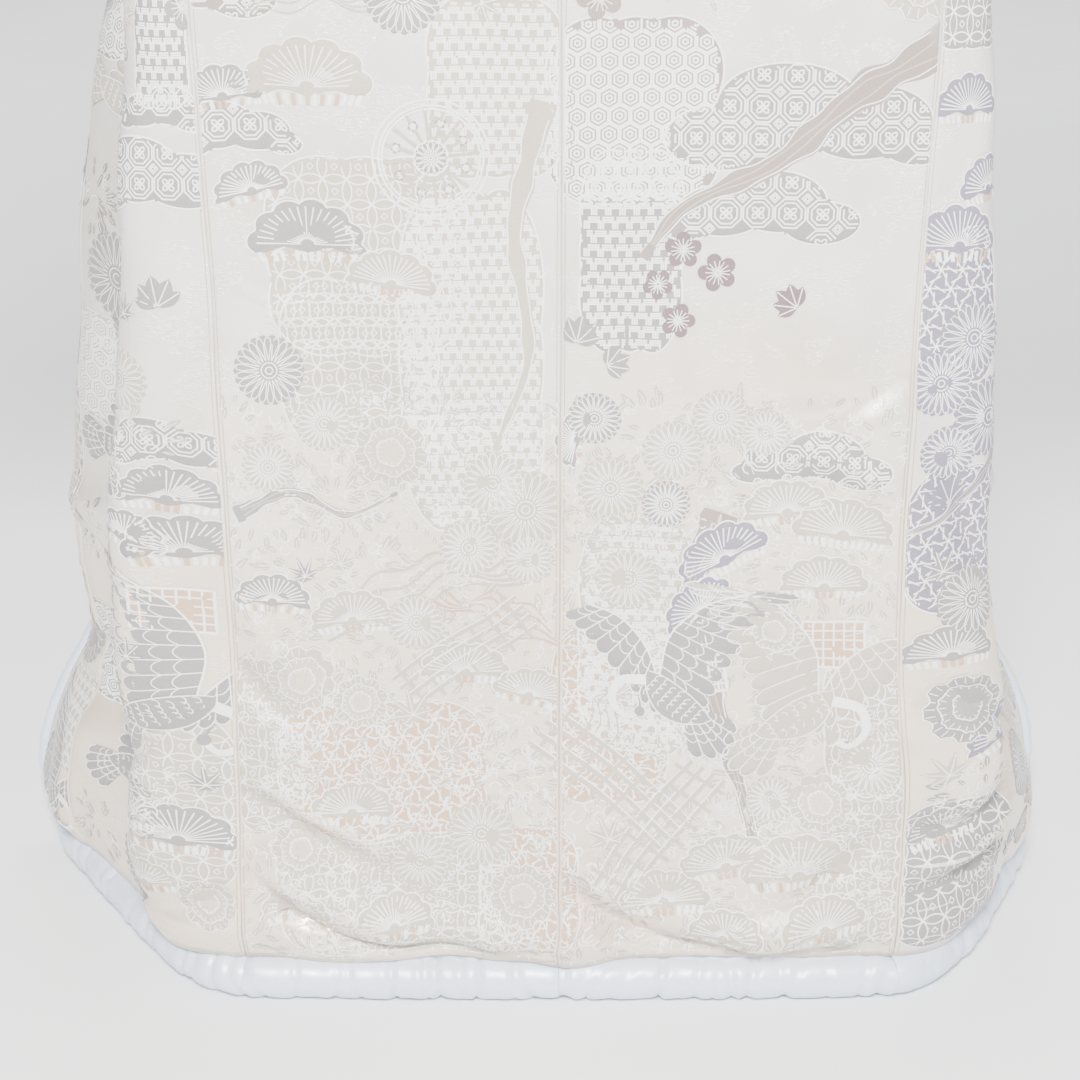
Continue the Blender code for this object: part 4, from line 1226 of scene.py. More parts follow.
def leaf(fig, x, y, size, turn, tint, level=2):
    """A pointed leaf with its midrib."""
    along = np.linspace(0, 1, 9)
    half = 0.26 * size * np.sin(math.pi * along) ** 0.8
    upper = np.column_stack([along * size, half])
    lower = np.column_stack([along * size, -half])[-2:0:-1]
    at = placer(x, y, turn, 1)
    fig.fill(at(np.concatenate([upper, lower])), at([(size * 0.5, 0.0)])[0], level, tint)
    fig.line(at([(0.05 * size, 0.0), (0.5 * size, 0.0), (0.95 * size, 0.0)]), THREAD * 0.8, level)


def sprig(fig, x, y, size, turn=0.0, flip=1, tint=MAUVE, level=3):
    """A spray of five pointed leaves on short stems."""
    for lean, reach in ((-1.1, 0.8), (-0.55, 0.95), (0.0, 1.0), (0.55, 0.9), (1.1, 0.75)):
        leaf(fig, x, y, size * reach, turn + flip * lean + math.pi / 2, tint, level)


def maple(fig, x, y, size, turn=0.0, flip=1, tint=PALE, level=3):
    """A seven-pointed leaf with its ribs."""
    reaches = (0.45, 0.72, 0.93, 1.0, 0.93, 0.72, 0.45)
    angles = np.radians([-35, 5, 48, 90, 132, 175, 215])
    outline = []
    for n in range(7):
        tip = size * reaches[n] * toward(angles[n])
        outline += [tip * 0.72 + placed([(0, -0.07 * size)], 0, 0, angles[n])[0], tip]
        outline += [tip * 0.72 + placed([(0, 0.07 * size)], 0, 0, angles[n])[0]]
        if n < 6:
            middle = (angles[n] + angles[n + 1]) / 2
            outline.append(0.34 * size * toward(middle))
    outline.append((0.0, -0.22 * size))
    at = placer(x, y, turn, flip)
    fig.fill(at(outline), (x, y), level, tint)
    for n in range(7):
        tip = size * reaches[n] * 0.9 * toward(angles[n])
        fig.line(at(np.linspace((0, 0), tip, 4)), THREAD * 0.8, level)


def peony(fig, x, y, size, turn=0.0, flip=1, tint=PALE, level=3):
    """A full flower of ruffled petals, ring inside ring."""
    at = placer(x, y, turn, flip)
    for ring, (reach, petals) in enumerate(((0.98, 9), (0.68, 7), (0.38, 5))):
        angle = np.linspace(0, 2 * math.pi, petals * 7 + 1)[:-1]
        ruffle = np.abs(np.sin(petals * angle / 2 + ring)) ** 0.5
        radius = size * reach * (0.80 + 0.17 * ruffle + 0.035 * np.cos(petals * 3 * angle))
        outline = ring_of(radius, angle)
        fig.fill(at(outline), (x, y), level + ring, np.asarray(tint) * (1 + 0.12 * ring))
        for ray in range(petals * 3):
            way = toward(2 * math.pi * ray / (petals * 3))
            spoke = np.linspace(0.72, 0.92, 3)[:, None] * size * reach * way[None, :]
            fig.line(at(spoke), THREAD * 0.7, level + ring)
        fig.line(at(np.concatenate([outline, outline[:1]])), THREAD, level + ring)


def lobes_inside(places, lobes):
    """How far inside a cloud of ellipses each place is: below 1 is inside."""
    reach = [np.hypot((places[:, 0] - x) / a, (places[:, 1] - y) / b) for x, y, a, b in lobes]
    return np.array(reach)


def cloud_fill(fig, lobes, level, tint):
    """The ground of a cloud made of ellipses, with a thread outline."""
    lobes = np.asarray(lobes, float)
    low = (lobes[:, :2] - lobes[:, 2:]).min(0)
    high = (lobes[:, :2] + lobes[:, 2:]).max(0)
    step = 0.0055
    xs = np.arange(low[0] - step, high[0] + 2 * step, step)
    ys = np.arange(low[1] - step, high[1] + 2 * step, step)
    grid_x, grid_y = np.meshgrid(xs, ys)
    places = np.column_stack([grid_x.ravel(), grid_y.ravel()])
    reach = lobes_inside(places, lobes)
    nearest = reach.argmin(0)
    value = reach.min(0)
    out = value > 1
    centres = lobes[nearest, :2]
    edge = centres + (places - centres) / np.maximum(value, 1e-6)[:, None]
    places = np.where(out[:, None], edge, places)
    columns = len(xs)
    first = (np.arange(len(ys) - 1)[:, None] * columns + np.arange(columns - 1)).ravel()
    quads = np.column_stack([first, first + 1, first + columns + 1, first + columns])
    keep = (~out[quads]).any(1)
    quads = quads[keep]
    faces = np.concatenate([quads[:, [0, 1, 2]], quads[:, [0, 2, 3]]])
    lift = np.where(out, EDGE_LIFT, BASE_LIFT + STEP_UP * level)
    fig.add(places, lift, faces, tint)
    for x, y, a, b in lobes:
        rim = arc(1.0, 0, 1, max(int((a + b) * 800), 20)) * (a, b) + (x, y)
        clear = lobes_inside(rim, lobes).min(0) > 0.995
        lines_inside(fig, rim, clear, THREAD * 1.4, level)


def lines_inside(fig, places, keep, width, level):
    """The stretches of a line that are kept."""
    start = None
    for n, kept in enumerate([*keep, False]):
        if kept and start is None:
            start = n
        if not kept and start is not None:
            if n - start >= 2:
                fig.line(places[start:n], width, level)
            start = None


def octagon_cell(pitch):
    """Lines of one cell of the diaper: an octagon with a four-petalled flower, and a small square."""
    cut = 0.29 * pitch
    half = pitch / 2
    ring = [(half, cut - half), (half, half - cut), (half - cut, half), (cut - half, half)]
    ring += [(-half, half - cut), (-half, cut - half), (cut - half, -half), (half - cut, -half)]
    ring = np.array([*ring, ring[0]]) * 0.93
    lines = [np.concatenate([np.linspace(ring[n], ring[n + 1], 4) for n in range(8)])]
    lines.append(ring * 0.74)
    for quarter in range(4):
        turn = math.pi / 2 * quarter + math.pi / 4
        petal = [(0.03 * pitch, 0.0), (0.14 * pitch, 0.075 * pitch), (0.24 * pitch, 0.0)]
        petal += [(0.14 * pitch, -0.075 * pitch), (0.03 * pitch, 0.0)]
        lines.append(placed(bent(petal, 9), 0, 0, turn))
    square = np.array([(0.0, 0.20), (0.20, 0.0), (0.0, -0.20), (-0.20, 0.0), (0.0, 0.20)]) * pitch
    lines.append(placed(square * 0.8, half, half))
    lines.append(placed(square * 0.4, half, half))
    return lines


def hexagon_cell(pitch):
    """Lines of one cell of tortoiseshell with a small inner hexagon."""
    ring = arc(pitch * 0.54, 0.25, 1.25, 7)
    return [ring, ring * 0.62, ring * 0.25]


def ring_cell(pitch):
    """Lines of one cell of interlocked rings with a small diamond in each."""
    diamond = np.array([(0.0, 0.14), (0.14, 0.0), (0.0, -0.14), (-0.14, 0.0), (0.0, 0.14)]) * pitch
    return [arc(pitch * 0.70, 0, 1, 25), diamond]


def triangle_cell(pitch):
    """Lines of one cell of the lattice of crossed triangles."""
    lines = []
    for third in range(6):
        way = toward(math.pi / 3 * third)
        aside = np.array([-way[1], way[0]]) * pitch * 0.03
        lines.append(np.linspace(aside, way * pitch * 0.5 + aside, 3))
        spoke = toward(math.pi / 3 * (third + 0.5))
        lines.append(np.linspace(way * pitch * 0.5, spoke * pitch * 0.29, 3))
    return lines


def basket_cell(pitch):
    """Lines of one cell of basket weave: three strips each way."""
    lines = []
    for strip in (-0.16, 0.0, 0.16):
        level = strip - 0.25
        lines.append(np.array([(-0.42, level), (0.0, level), (0.42, level)]) * pitch)
        lines.append(np.array([(strip, 0.08), (strip, 0.3), (strip, 0.68)]) * pitch)
    return lines


# A woven fill: its cell's lines, the cell's size, how far apart cells lie each way, how far every
# other row is shifted and how thick its threads are.
Diaper = namedtuple("Diaper", "cell pitch across up shift thread")
DIAPERS = {
    "octagon": Diaper(octagon_cell, 0.027, 1.0, 1.0, 0.0, 1.25),
    "hexagon": Diaper(hexagon_cell, 0.017, 1.04, 0.90, 0.5, 1.6),
    "ring": Diaper(ring_cell, 0.021, 1.0, 1.0, 0.0, 1.0),
    "triangle": Diaper(triangle_cell, 0.020, 1.0, 0.866, 0.5, 1.1),
    "basket": Diaper(basket_cell, 0.012, 1.0, 1.0, 0.5, 1.3),
}


def diaper(fig, lobes, kind, level):
    """A woven fill inside a cloud of ellipses."""
    lobes = np.asarray(lobes, float)
    shape = DIAPERS[kind]
    low = (lobes[:, :2] - lobes[:, 2:]).min(0)
    high = (lobes[:, :2] + lobes[:, 2:]).max(0)
    lines = shape.cell(shape.pitch)
    rows = int((high[1] - low[1]) / (shape.pitch * shape.up)) + 2
    columns = int((high[0] - low[0]) / (shape.pitch * shape.across)) + 2
    for row in range(rows):
        for column in range(columns):
            x = low[0] + (column + shape.shift * (row % 2)) * shape.pitch * shape.across
            y = low[1] + row * shape.pitch * shape.up
            centre = np.array([[x, y]])
            if lobes_inside(centre, lobes).min() > 1.25:
                continue
            for line in lines:
                places = line + centre
                keep = lobes_inside(places, lobes).min(0) < 0.97
                lines_inside(fig, places, keep, THREAD * shape.thread, level)


def cloud(fig, x, y, size, turn=0.0, flip=1, tint=GREY, level=0, kind="octagon"):
    """A drifting cloud of ellipses with a woven fill."""
    shape = [(-0.62, -0.10, 0.42, 0.24), (-0.15, 0.12, 0.52, 0.34)]
    shape += [(0.42, 0.02, 0.48, 0.28), (0.80, -0.16, 0.26, 0.15)]
    lobes = [(x + flip * a * size, y + b * size, c * size, d * size) for a, b, c, d in shape]
    cloud_fill(fig, lobes, level, tint)
    diaper(fig, lobes, kind, level)


def field(fig, x, y, wide, high, kind, tint, level=0):
    """An upright patch of a woven fill, round at its corners."""
    steps = (-1, 0, 1)
    lobes = [(x + a * wide / 4, y + b * high / 4, wide * 0.34, high * 0.34) for a in steps for b in steps]
    cloud_fill(fig, lobes, level, tint)
    diaper(fig, lobes, kind, level)


def wheel(fig, x, y, size, turn=0.0, flip=1, tint=PALE, level=2):
    """A cart wheel: rims, spokes and a hub of petals."""
    for share in (1.0, 0.90, 0.84, 0.30):
        fig.line(placed(arc(share * size, 0, 1, 61), x, y), THREAD * 1.6, level)
    for n in range(16):
        way = toward(math.pi * n / 8 + turn)
        fig.line(placed(np.linspace(way * 0.3 * size, way * 0.84 * size, 8), x, y), THREAD * 2.2, level, tint)
    chrysanthemum(fig, x, y, size * 0.3, 0.0, 1, GREY, level, 14)
    for n in range(8):
        way = math.pi * (n + 0.5) / 4 + turn
        rim = 0.62 * size * toward(way)
        blossom(fig, x + rim[0], y + rim[1], 0.10 * size, way, 1, GREY, level)


def water(fig, x, y, size, turn=0.0, flip=1, tint=PALE, level=1):
    """Flowing bands of water with a curl."""
    along = np.linspace(-1, 1, 60)
    for band in range(7):
        rise = 0.10 * np.sin(3.0 * along + 0.5 + 0.22 * band) + 0.055 * band - 0.16
        places = np.column_stack([along, rise + 0.06 * np.sin(7 * along)]) * size
        places[:, 0] *= 1.0 - 0.05 * band
        wide = 0.020 * size if band % 2 == 0 else 0.008 * size
        fig.line(placed(places, x, y, turn, flip), wide, level, tint if band % 2 == 0 else WHITE)
    angle = np.linspace(0, 3.2 * math.pi, 40)
    radius = 0.17 * size * (1 - angle / 12)
    curl = np.column_stack([radius * np.cos(angle), radius * (0.6 * np.sin(angle))])
    fig.line(placed(curl + (0.25 * size, 0.05 * size), x, y, turn, flip), 0.012 * size, level + 1)


def branch(fig, points, width, tint, level=1):
    """A gnarled branch along a bent line, thinner to its end, with bark lines."""
    path = bent(points, 70)
    along = np.linspace(0, 1, 70)
    knots = 1 + 0.16 * np.sin(along * 31) + 0.1 * np.sin(along * 57 + 1)
    wide = width * (1 - 0.72 * along) * knots
    run = np.gradient(path, axis=0)
    run /= np.linalg.norm(run, axis=1, keepdims=True)
    aside = np.column_stack([-run[:, 1], run[:, 0]])
    rows = [path + aside * (wide * share)[:, None] for share in (-0.5, -0.47, 0.0, 0.47, 0.5)]
    top = BASE_LIFT + STEP_UP * level
    lifts = [EDGE_LIFT, top, top, top, EDGE_LIFT]
    count = len(path)
    faces = []
    n = np.arange(count - 1)
    for row in range(4):
        a = row * count + n
        b = a + count
        faces += [np.column_stack([a, a + 1, b + 1]), np.column_stack([a, b + 1, b])]
    fig.add(np.concatenate(rows), np.repeat(lifts, count), np.concatenate(faces), tint)
    for share in (-0.44, -0.18, 0.12, 0.38):
        bark = path + aside * (wide * (share + 0.05 * np.sin(along * 23 + share * 9)))[:, None]
        fig.line(bark[3:-3], THREAD, level, WHITE if abs(share) > 0.3 else PALE)


def window(fig, x, y, size, turn=0.0, flip=1, tint=PEACH, level=1):
    """A lattice window on a warm ground."""
    high = 0.72 * size
    frame_line = np.array([(-1, -1), (1, -1), (1, 1), (-1, 1), (-1, -1)]) * (size / 2, high / 2)
    rim = np.concatenate([np.linspace(frame_line[n], frame_line[n + 1], 12)[:-1] for n in range(4)])
    fig.fill(placed(rim, x, y, turn), (x, y), level, tint)
    fig.line(placed(np.concatenate([rim, rim[:1]]), x, y, turn), 0.0028, level)
    for part in np.linspace(-0.5, 0.5, 8)[1:-1]:
        bar = np.column_stack([np.full(14, part * size), np.linspace(-high / 2, high / 2, 14)])
        fig.line(placed(bar, x, y, turn), 0.0017, level)
    for part in np.linspace(-0.5, 0.5, 6)[1:-1]:
        bar = np.column_stack([np.linspace(-size / 2, size / 2, 16), np.full(16, part * high)])
        fig.line(placed(bar, x, y, turn), 0.0017, level)


def bridge(fig, x, y, size, turn=0.0, flip=1, tint=GREY, level=1):
    """Slanted beams of a bridge with short cross pieces."""
    at = placer(x, y, turn, flip)
    bow = 0.05 * size * np.cos(np.linspace(-1.5, 1.5, 34))
    for beam in range(4):
        places = np.column_stack([np.linspace(-size, size, 34), 0.16 * beam * size + bow])
        fig.line(at(places), 0.055 * size, level, tint if beam % 2 else PALE)
        fig.line(at(places + (0, 0.034 * size)), THREAD * 1.2, level + 1)
    for post in np.linspace(-0.85, 0.85, 7):
        places = np.column_stack([np.full(10, post * size), np.linspace(-0.10, 0.62, 10) * size])
        fig.line(at(places), 0.04 * size, level + 1, tint)


def wing(fig, at, lead, ways, reach, feathers, level, tint):
    """A spread wing: rounded feathers side by side behind its leading edge, parted by pale threads."""
    edge = bent(lead, feathers * 6 + 1)
    share = np.linspace(0, 1, len(edge))
    way = ways[0] * (1 - share) + ways[1] * share
    lobe = 0.84 + 0.16 * np.abs(np.sin(math.pi * feathers * share)) ** 0.6
    length = reach * (0.55 + 0.45 * np.sin(math.pi * (0.2 + 0.7 * share))) * lobe
    tips = edge + np.column_stack([np.cos(way), np.sin(way)]) * length[:, None]
    fig.between(at(edge), at(tips), level, tint)
    fig.line(at(tips), THREAD, level)
    fig.line(at(edge), THREAD * 1.4, level)
    for place in range(6, len(edge) - 1, 6):
        fig.line(at(np.linspace(edge[place], tips[place], 6)), THREAD * 0.9, level)
    for depth in (0.26, 0.50):
        reach = depth + 0.05 * np.abs(np.sin(math.pi * feathers * share))
        fig.line(at(edge + (tips - edge) * reach[:, None]), THREAD * 0.8, level)


def crane(fig, x, y, size, turn=0.0, flip=1, tint=GREY, level=3):
    """A flying crane: two spread wings, a tail, a scaled body, and a bent neck with its head."""
    at = placer(x, y, turn, flip)
    far = np.array([(0.16, 0.02), (0.40, 0.16), (0.68, 0.20), (0.86, 0.14)]) * size
    wing(fig, at, far, (-2.2, -1.0), 0.30 * size, 9, level - 1, tint)
    near = np.array([(0.18, 0.04), (0.32, 0.34), (0.28, 0.66), (0.08, 0.94)]) * size
    wing(fig, at, near, (3.1, 2.5), 0.46 * size, 11, level, tint)
    tail = np.array([(-0.16, -0.10), (-0.24, -0.02), (-0.22, 0.08)]) * size
    wing(fig, at, tail, (3.9, 2.9), 0.30 * size, 5, level, tint)
    along = np.linspace(0, 1, 25)
    half = 0.12 * size * np.sin(math.pi * np.clip(along, 0.03, 0.97)) ** 0.7
    height = (0.02 - 0.05 * np.sin(math.pi * along)) * size
    middle = np.column_stack([(-0.28 + 0.56 * along) * size, height])
    aside = np.column_stack([0 * along, half])
    outline = np.concatenate([middle + aside, (middle - aside)[-2:0:-1]])
    fig.fill(at(outline), at([(0.0, -0.02 * size)])[0], level + 2, tint)
    fig.line(at(np.concatenate([outline, outline[:1]])), THREAD, level + 2)
    for row in range(7):
        for scale in range(4):
            centre = ((-0.20 + 0.062 * row) * size, (-0.085 + 0.04 * scale + 0.02 * (row % 2)) * size)
            fig.line(at(arc(0.028 * size, -0.2, 0.25, 6) + centre), THREAD * 0.8, level + 2)
    neck = np.array([(0.24, -0.02), (0.36, -0.14), (0.30, -0.30), (0.16, -0.32), (0.12, -0.24)]) * size
    fig.line(at(bent(neck, 34)), np.linspace(0.075, 0.036, 34) * size, level + 2)
    head = arc(0.035 * size, 0, 1, 17)[:-1] + (0.12 * size, -0.23 * size)
    fig.fill(at(head), at([(0.12 * size, -0.23 * size)])[0], level + 3, tint)
    beak = bent(np.array([(0.13, -0.21), (0.17, -0.17), (0.21, -0.14)]) * size, 7)
    fig.line(at(beak), np.linspace(0.018, 0.004, 7) * size, level + 3, tint)


def foliage(fig, x, y, size, turn=0.0, flip=1, tint=PALE, level=1):
    """A mass of small leaves and stitches round a place."""
    chance = np.random.default_rng(int(abs(x * 7919 + y * 104729)) % 9973)
    count = int(size * size * 26000)
    for _ in range(min(count, 60)):
        way = chance.uniform(0, 2 * math.pi)
        reach = size * math.sqrt(chance.uniform(0.02, 1.0))
        place = (x + reach * math.cos(way), y + 0.8 * reach * math.sin(way))
        if chance.uniform() < 0.55:
            length = chance.uniform(0.008, 0.015)
            blade = placed(np.linspace((0.0, 0.0), (length, 0.0), 5), *place, way)
            fig.line(blade, length * np.array([0.05, 0.30, 0.38, 0.26, 0.03]), level, tint)
            fig.line(blade[:4], THREAD * 0.6, level + 1)
        else:
            curl = arc(chance.uniform(0.003, 0.006), 0, 0.62, 6)
            fig.line(placed(curl, place[0], place[1], way), THREAD * 1.2, level)


def meadow(fig, low, high):
    """Small leaves and stitches all over a stretch of cloth, under the other figures."""
    pitch = 0.066
    for row in range(int((high[1] - low[1]) / pitch) + 1):
        for column in range(int((high[0] - low[0]) / pitch) + 1):
            x = low[0] + (column + 0.5 * (row % 2)) * pitch
            foliage(fig, x, low[1] + row * pitch, 0.042, 0.0, 1, PALE, 0)


# The design of what is seen from behind, one row a figure: cloth across from the centre back seam,
# + to the right, and up from the floor, its size, its turn, its flip and the tint of its threads.
Motif = namedtuple("Motif", "shape across height size turn flip tint", defaults=(0.0, 1, PALE))
BACK_DESIGN = [
    (wheel, -0.112, 0.822, 0.05, 0.1),
    (pine, -0.215, 0.88, 0.055),
    (pine, -0.288, 0.872, 0.036, 0.1, 1, GREY),
    (pine, -0.268, 0.792, 0.033, 0.2, 1, GREY),
    (pine, -0.222, 0.745, 0.052, 0.0, -1, GREY),
    (pine, -0.15, 0.712, 0.04, -0.2),
    (chrysanthemum, -0.262, 0.635, 0.032, 0.0, 1, GREY),
    (chrysanthemum, -0.215, 0.585, 0.026, 0.4),
    (chrysanthemum, -0.268, 0.545, 0.024, 0.2),
    (chrysanthemum, -0.062, 0.53, 0.03),
    (chrysanthemum, -0.032, 0.505, 0.038, 0.5),
    (chrysanthemum, -0.085, 0.47, 0.028, 0.2),
    (chrysanthemum, -0.03, 0.455, 0.024, 0.7),
    (peony, -0.155, 0.56, 0.036, 0.2),
    (foliage, -0.12, 0.6, 0.06),
    (foliage, -0.205, 0.515, 0.05),
    (maple, -0.238, 0.44, 0.02, 0.4, 1, GREY),
    (maple, -0.205, 0.452, 0.018, -0.5),
    (water, -0.12, 0.43, 0.11, 0.25),
    (water, -0.06, 0.405, 0.07, -0.3, -1, PEACH),
    (bridge, -0.08, 0.35, 0.072, 0.62),
    (peony, -0.245, 0.34, 0.034),
    (peony, -0.19, 0.315, 0.028, 0.6),
    (pine, -0.09, 0.345, 0.042),
    (pine, -0.03, 0.32, 0.036, -0.3, -1, PALE),
    (maple, -0.14, 0.3, 0.03, 0.2),
    (maple, -0.105, 0.262, 0.026, -0.6),
    (maple, -0.165, 0.255, 0.022, 1.2, 1, PEACH),
    (foliage, -0.22, 0.28, 0.055),
    (foliage, -0.06, 0.24, 0.05),
    (peony, -0.25, 0.165, 0.03),
    (chrysanthemum, -0.075, 0.18, 0.034),
    (peony, -0.035, 0.12, 0.034, 0.3),
    (pine, -0.255, 0.095, 0.036, 0.1),
    (blossom, 0.104, 0.742, 0.017, 0.0, 1, MAUVE),
    (blossom, 0.134, 0.722, 0.018, 0.3, 1, MAUVE),
    (blossom, 0.083, 0.712, 0.014, 0.6, 1, MAUVE),
    (blossom, 0.101, 0.68, 0.016, 0.9, 1, MAUVE),
    (sprig, 0.204, 0.69, 0.024, 0.9, 1, MAUVE),
    (chrysanthemum, 0.1, 0.56, 0.028, 0.1),
    (chrysanthemum, 0.142, 0.59, 0.026, 0.4),
    (chrysanthemum, 0.182, 0.575, 0.022, 0.2),
    (chrysanthemum, 0.03, 0.59, 0.024, 0.2, 1, GREY),
    (chrysanthemum, 0.045, 0.525, 0.03, 0.5),
    (chrysanthemum, 0.095, 0.51, 0.022, 0.8, 1, GREY),
    (sprig, 0.014, 0.66, 0.026, -0.2, 1, GREY),
    (sprig, 0.04, 0.64, 0.022, -1.2, 1, GREY),
    (pine, 0.015, 0.57, 0.026, 1.4, 1, GREY),
    (foliage, 0.155, 0.53, 0.06),
    (foliage, 0.06, 0.47, 0.05),
    (pine, 0.205, 0.5, 0.04, 0.1),
    (pine, 0.255, 0.48, 0.046, -0.1, -1, PALE),
    (pine, 0.24, 0.43, 0.04),
    (pine, 0.15, 0.455, 0.044, 0.5, 1, LAVENDER),
    (pine, 0.13, 0.405, 0.038, 0.9, 1, LAVENDER),
    (window, 0.245, 0.372, 0.066, 0.0, 1, PEACH),
    (window, 0.125, 0.345, 0.05, 0.1, 1, PEACH),
    (crane, 0.105, 0.32, 0.135, -0.7, -1, GREY),
    (crane, 0.215, 0.3, 0.15, 0.5),
    (bridge, 0.03, 0.22, 0.08, -0.72),
    (bridge, 0.105, 0.175, 0.075, 0.95),
    (water, 0.045, 0.3, 0.06, 1.2),
    (chrysanthemum, 0.19, 0.215, 0.024, 0.3),
    (peony, 0.235, 0.21, 0.03, 0.3),
    (pine, 0.095, 0.112, 0.042, 0.1),
    (pine, 0.15, 0.082, 0.034, -0.1),
    (pine, 0.215, 0.14, 0.052, 0.0, -1, PALE),
    (pine, 0.24, 0.085, 0.04, 0.2),
    (foliage, 0.04, 0.12, 0.045),
    (foliage, 0.18, 0.17, 0.045),
    (pine, -0.195, 0.395, 0.04, 0.1),
    (pine, -0.27, 0.415, 0.036, -0.1, -1, GREY),
    (chrysanthemum, -0.135, 0.395, 0.028, 0.1),
    (chrysanthemum, 0.062, 0.435, 0.03, 0.3),
    (peony, 0.195, 0.385, 0.03, 0.2),
    (pine, -0.2, 0.205, 0.04, -0.1),
    (chrysanthemum, -0.135, 0.15, 0.03, 0.3),
    (pine, -0.16, 0.09, 0.038, 0.1, -1, PALE),
    (maple, 0.045, 0.175, 0.026, 0.4),
    (pine, 0.15, 0.15, 0.042, 0.2),
    (chrysanthemum, 0.28, 0.25, 0.028, 0.2),
]


def back_ground(fig):
    """The clouds, fields and branches under the figures of the back."""
    fields = [
        ((-0.170, 0.735, 0.150, 0.150), "ring", PALE),
        ((-0.180, 0.640, 0.120, 0.130), "ring", PALE),
        ((-0.080, 0.640, 0.110, 0.260), "basket", PALE),
        ((-0.055, 0.880, 0.100, 0.130), "basket", PALE),
        ((0.060, 0.860, 0.125, 0.135), "hexagon", TAUPE),
        ((0.060, 0.740, 0.075, 0.150), "basket", GREY),
        ((-0.170, 0.245, 0.170, 0.120), "triangle", PEACH),
        ((-0.030, 0.125, 0.080, 0.110), "triangle", PEACH),
        ((-0.155, 0.115, 0.200, 0.110), "ring", PALE),
        ((0.070, 0.380, 0.090, 0.200), "basket", PALE),
        ((0.045, 0.300, 0.090, 0.150), "triangle", PEACH),
        ((0.275, 0.150, 0.070, 0.150), "ring", PALE),
        ((0.275, 0.290, 0.060, 0.120), "ring", PALE),
        ((-0.280, 0.270, 0.060, 0.150), "ring", PALE),
    ]
    for (x, y, wide, high), kind, tint in fields:
        field(fig, x, y, wide, high, kind, tint)
    cloud(fig, 0.205, 0.850, 0.115, 0.0, 1, GREY, 1, "octagon")
    cloud(fig, 0.170, 0.775, 0.080, 0.0, -1, GREY, 2, "octagon")
    cloud(fig, 0.225, 0.548, 0.068, 0.0, -1, GREY, 1, "octagon")
    cloud(fig, -0.285, 0.842, 0.060, 0.0, 1, GREY, 1, "octagon")
    branch(fig, [(0.32, 0.92), (0.245, 0.875), (0.175, 0.815), (0.1, 0.775), (0.07, 0.735)], 0.034, TAUPE, 3)
    branch(fig, [(-0.3, 0.5), (-0.25, 0.52), (-0.195, 0.5), (-0.15, 0.52)], 0.014, GREY, 2)
    branch(fig, [(-0.015, 0.87), (-0.04, 0.76), (-0.03, 0.64), (-0.06, 0.56)], 0.022, PALE, 1)
    branch(fig, [(0.145, 0.5), (0.12, 0.43), (0.135, 0.34), (0.16, 0.24), (0.185, 0.13)], 0.030, TAUPE, 1)


# The front panels as seen round the sides: across is cloth past the centre back seam.
SIDE_DESIGN = [
    (pine, 0.35, 0.86, 0.042, 0.0, 1, LAVENDER),
    (pine, 0.385, 0.79, 0.04, 0.1, -1, LAVENDER),
    (pine, 0.345, 0.742, 0.048, 0.0, 1, LAVENDER),
    (chrysanthemum, 0.365, 0.66, 0.034, 0.0, 1, LAVENDER),
    (chrysanthemum, 0.335, 0.62, 0.03, 0.2, 1, LAVENDER),
    (chrysanthemum, 0.385, 0.585, 0.038, 0.4, 1, LAVENDER),
    (chrysanthemum, 0.345, 0.555, 0.026, 0.1, 1, LAVENDER),
    (sprig, 0.35, 0.505, 0.028, 0.4, 1, LAVENDER),
    (maple, 0.345, 0.44, 0.024, 0.3, 1, GREY),
    (chrysanthemum, 0.372, 0.408, 0.034, 0.3, 1, GREY),
    (pine, 0.35, 0.355, 0.04, 0.0, 1, GREY),
    (peony, 0.36, 0.3, 0.036, 0.0, 1, GREY),
    (pine, 0.395, 0.265, 0.04, 0.3, 1, LAVENDER),
    (maple, 0.345, 0.235, 0.026, 0.6),
    (pine, 0.35, 0.17, 0.04, 0.1, 1, GREY),
    (foliage, 0.38, 0.21, 0.045, 0.0, 1, GREY),
    (chrysanthemum, 0.395, 0.13, 0.03, 0.0, 1, GREY),
]
LEFT_DESIGN = [
    (sprig, -0.352, 0.69, 0.028, 0.2, 1, GREY),
    (chrysanthemum, -0.39, 0.62, 0.03, 0.2),
    (pine, -0.35, 0.51, 0.042, 0.0, 1, GREY),
    (pine, -0.34, 0.46, 0.048, 0.1, -1, GREY),
    (pine, -0.385, 0.47, 0.034, -0.3, 1, GREY),
    (window, -0.352, 0.402, 0.06, 0.0, 1, PEACH),
    (crane, -0.362, 0.3, 0.15, 0.3, 1, GREY),
    (maple, -0.335, 0.225, 0.022, 0.1, 1, GREY),
    (pine, -0.358, 0.165, 0.048, 0.0, 1, GREY),
    (pine, -0.395, 0.11, 0.036, 0.3),
    (peony, -0.34, 0.1, 0.028, 0.1),
    (foliage, -0.4, 0.22, 0.05),
    (foliage, -0.385, 0.56, 0.045),
]


def side_ground(fig):
    """The clouds and fields under the figures of the front panels' back parts."""
    cloud(fig, -0.360, 0.800, 0.085, 0.0, 1, GREY, 1, "octagon")
    cloud(fig, -0.345, 0.860, 0.050, 0.0, -1, GREY, 0, "octagon")
    cloud(fig, -0.355, 0.560, 0.060, 0.0, 1, GREY, 0, "octagon")
    field(fig, -0.345, 0.910, 0.050, 0.080, "basket", GREY)
    field(fig, 0.350, 0.690, 0.070, 0.120, "triangle", LAVENDER)
    field(fig, 0.375, 0.470, 0.110, 0.120, "triangle", LAVENDER)
    field(fig, 0.365, 0.130, 0.110, 0.130, "ring", GREY)
    field(fig, -0.360, 0.205, 0.090, 0.150, "ring", PALE)
    branch(fig, [(0.43, 0.59), (0.385, 0.53), (0.34, 0.49), (0.305, 0.48)], 0.020, LAVENDER, 1)


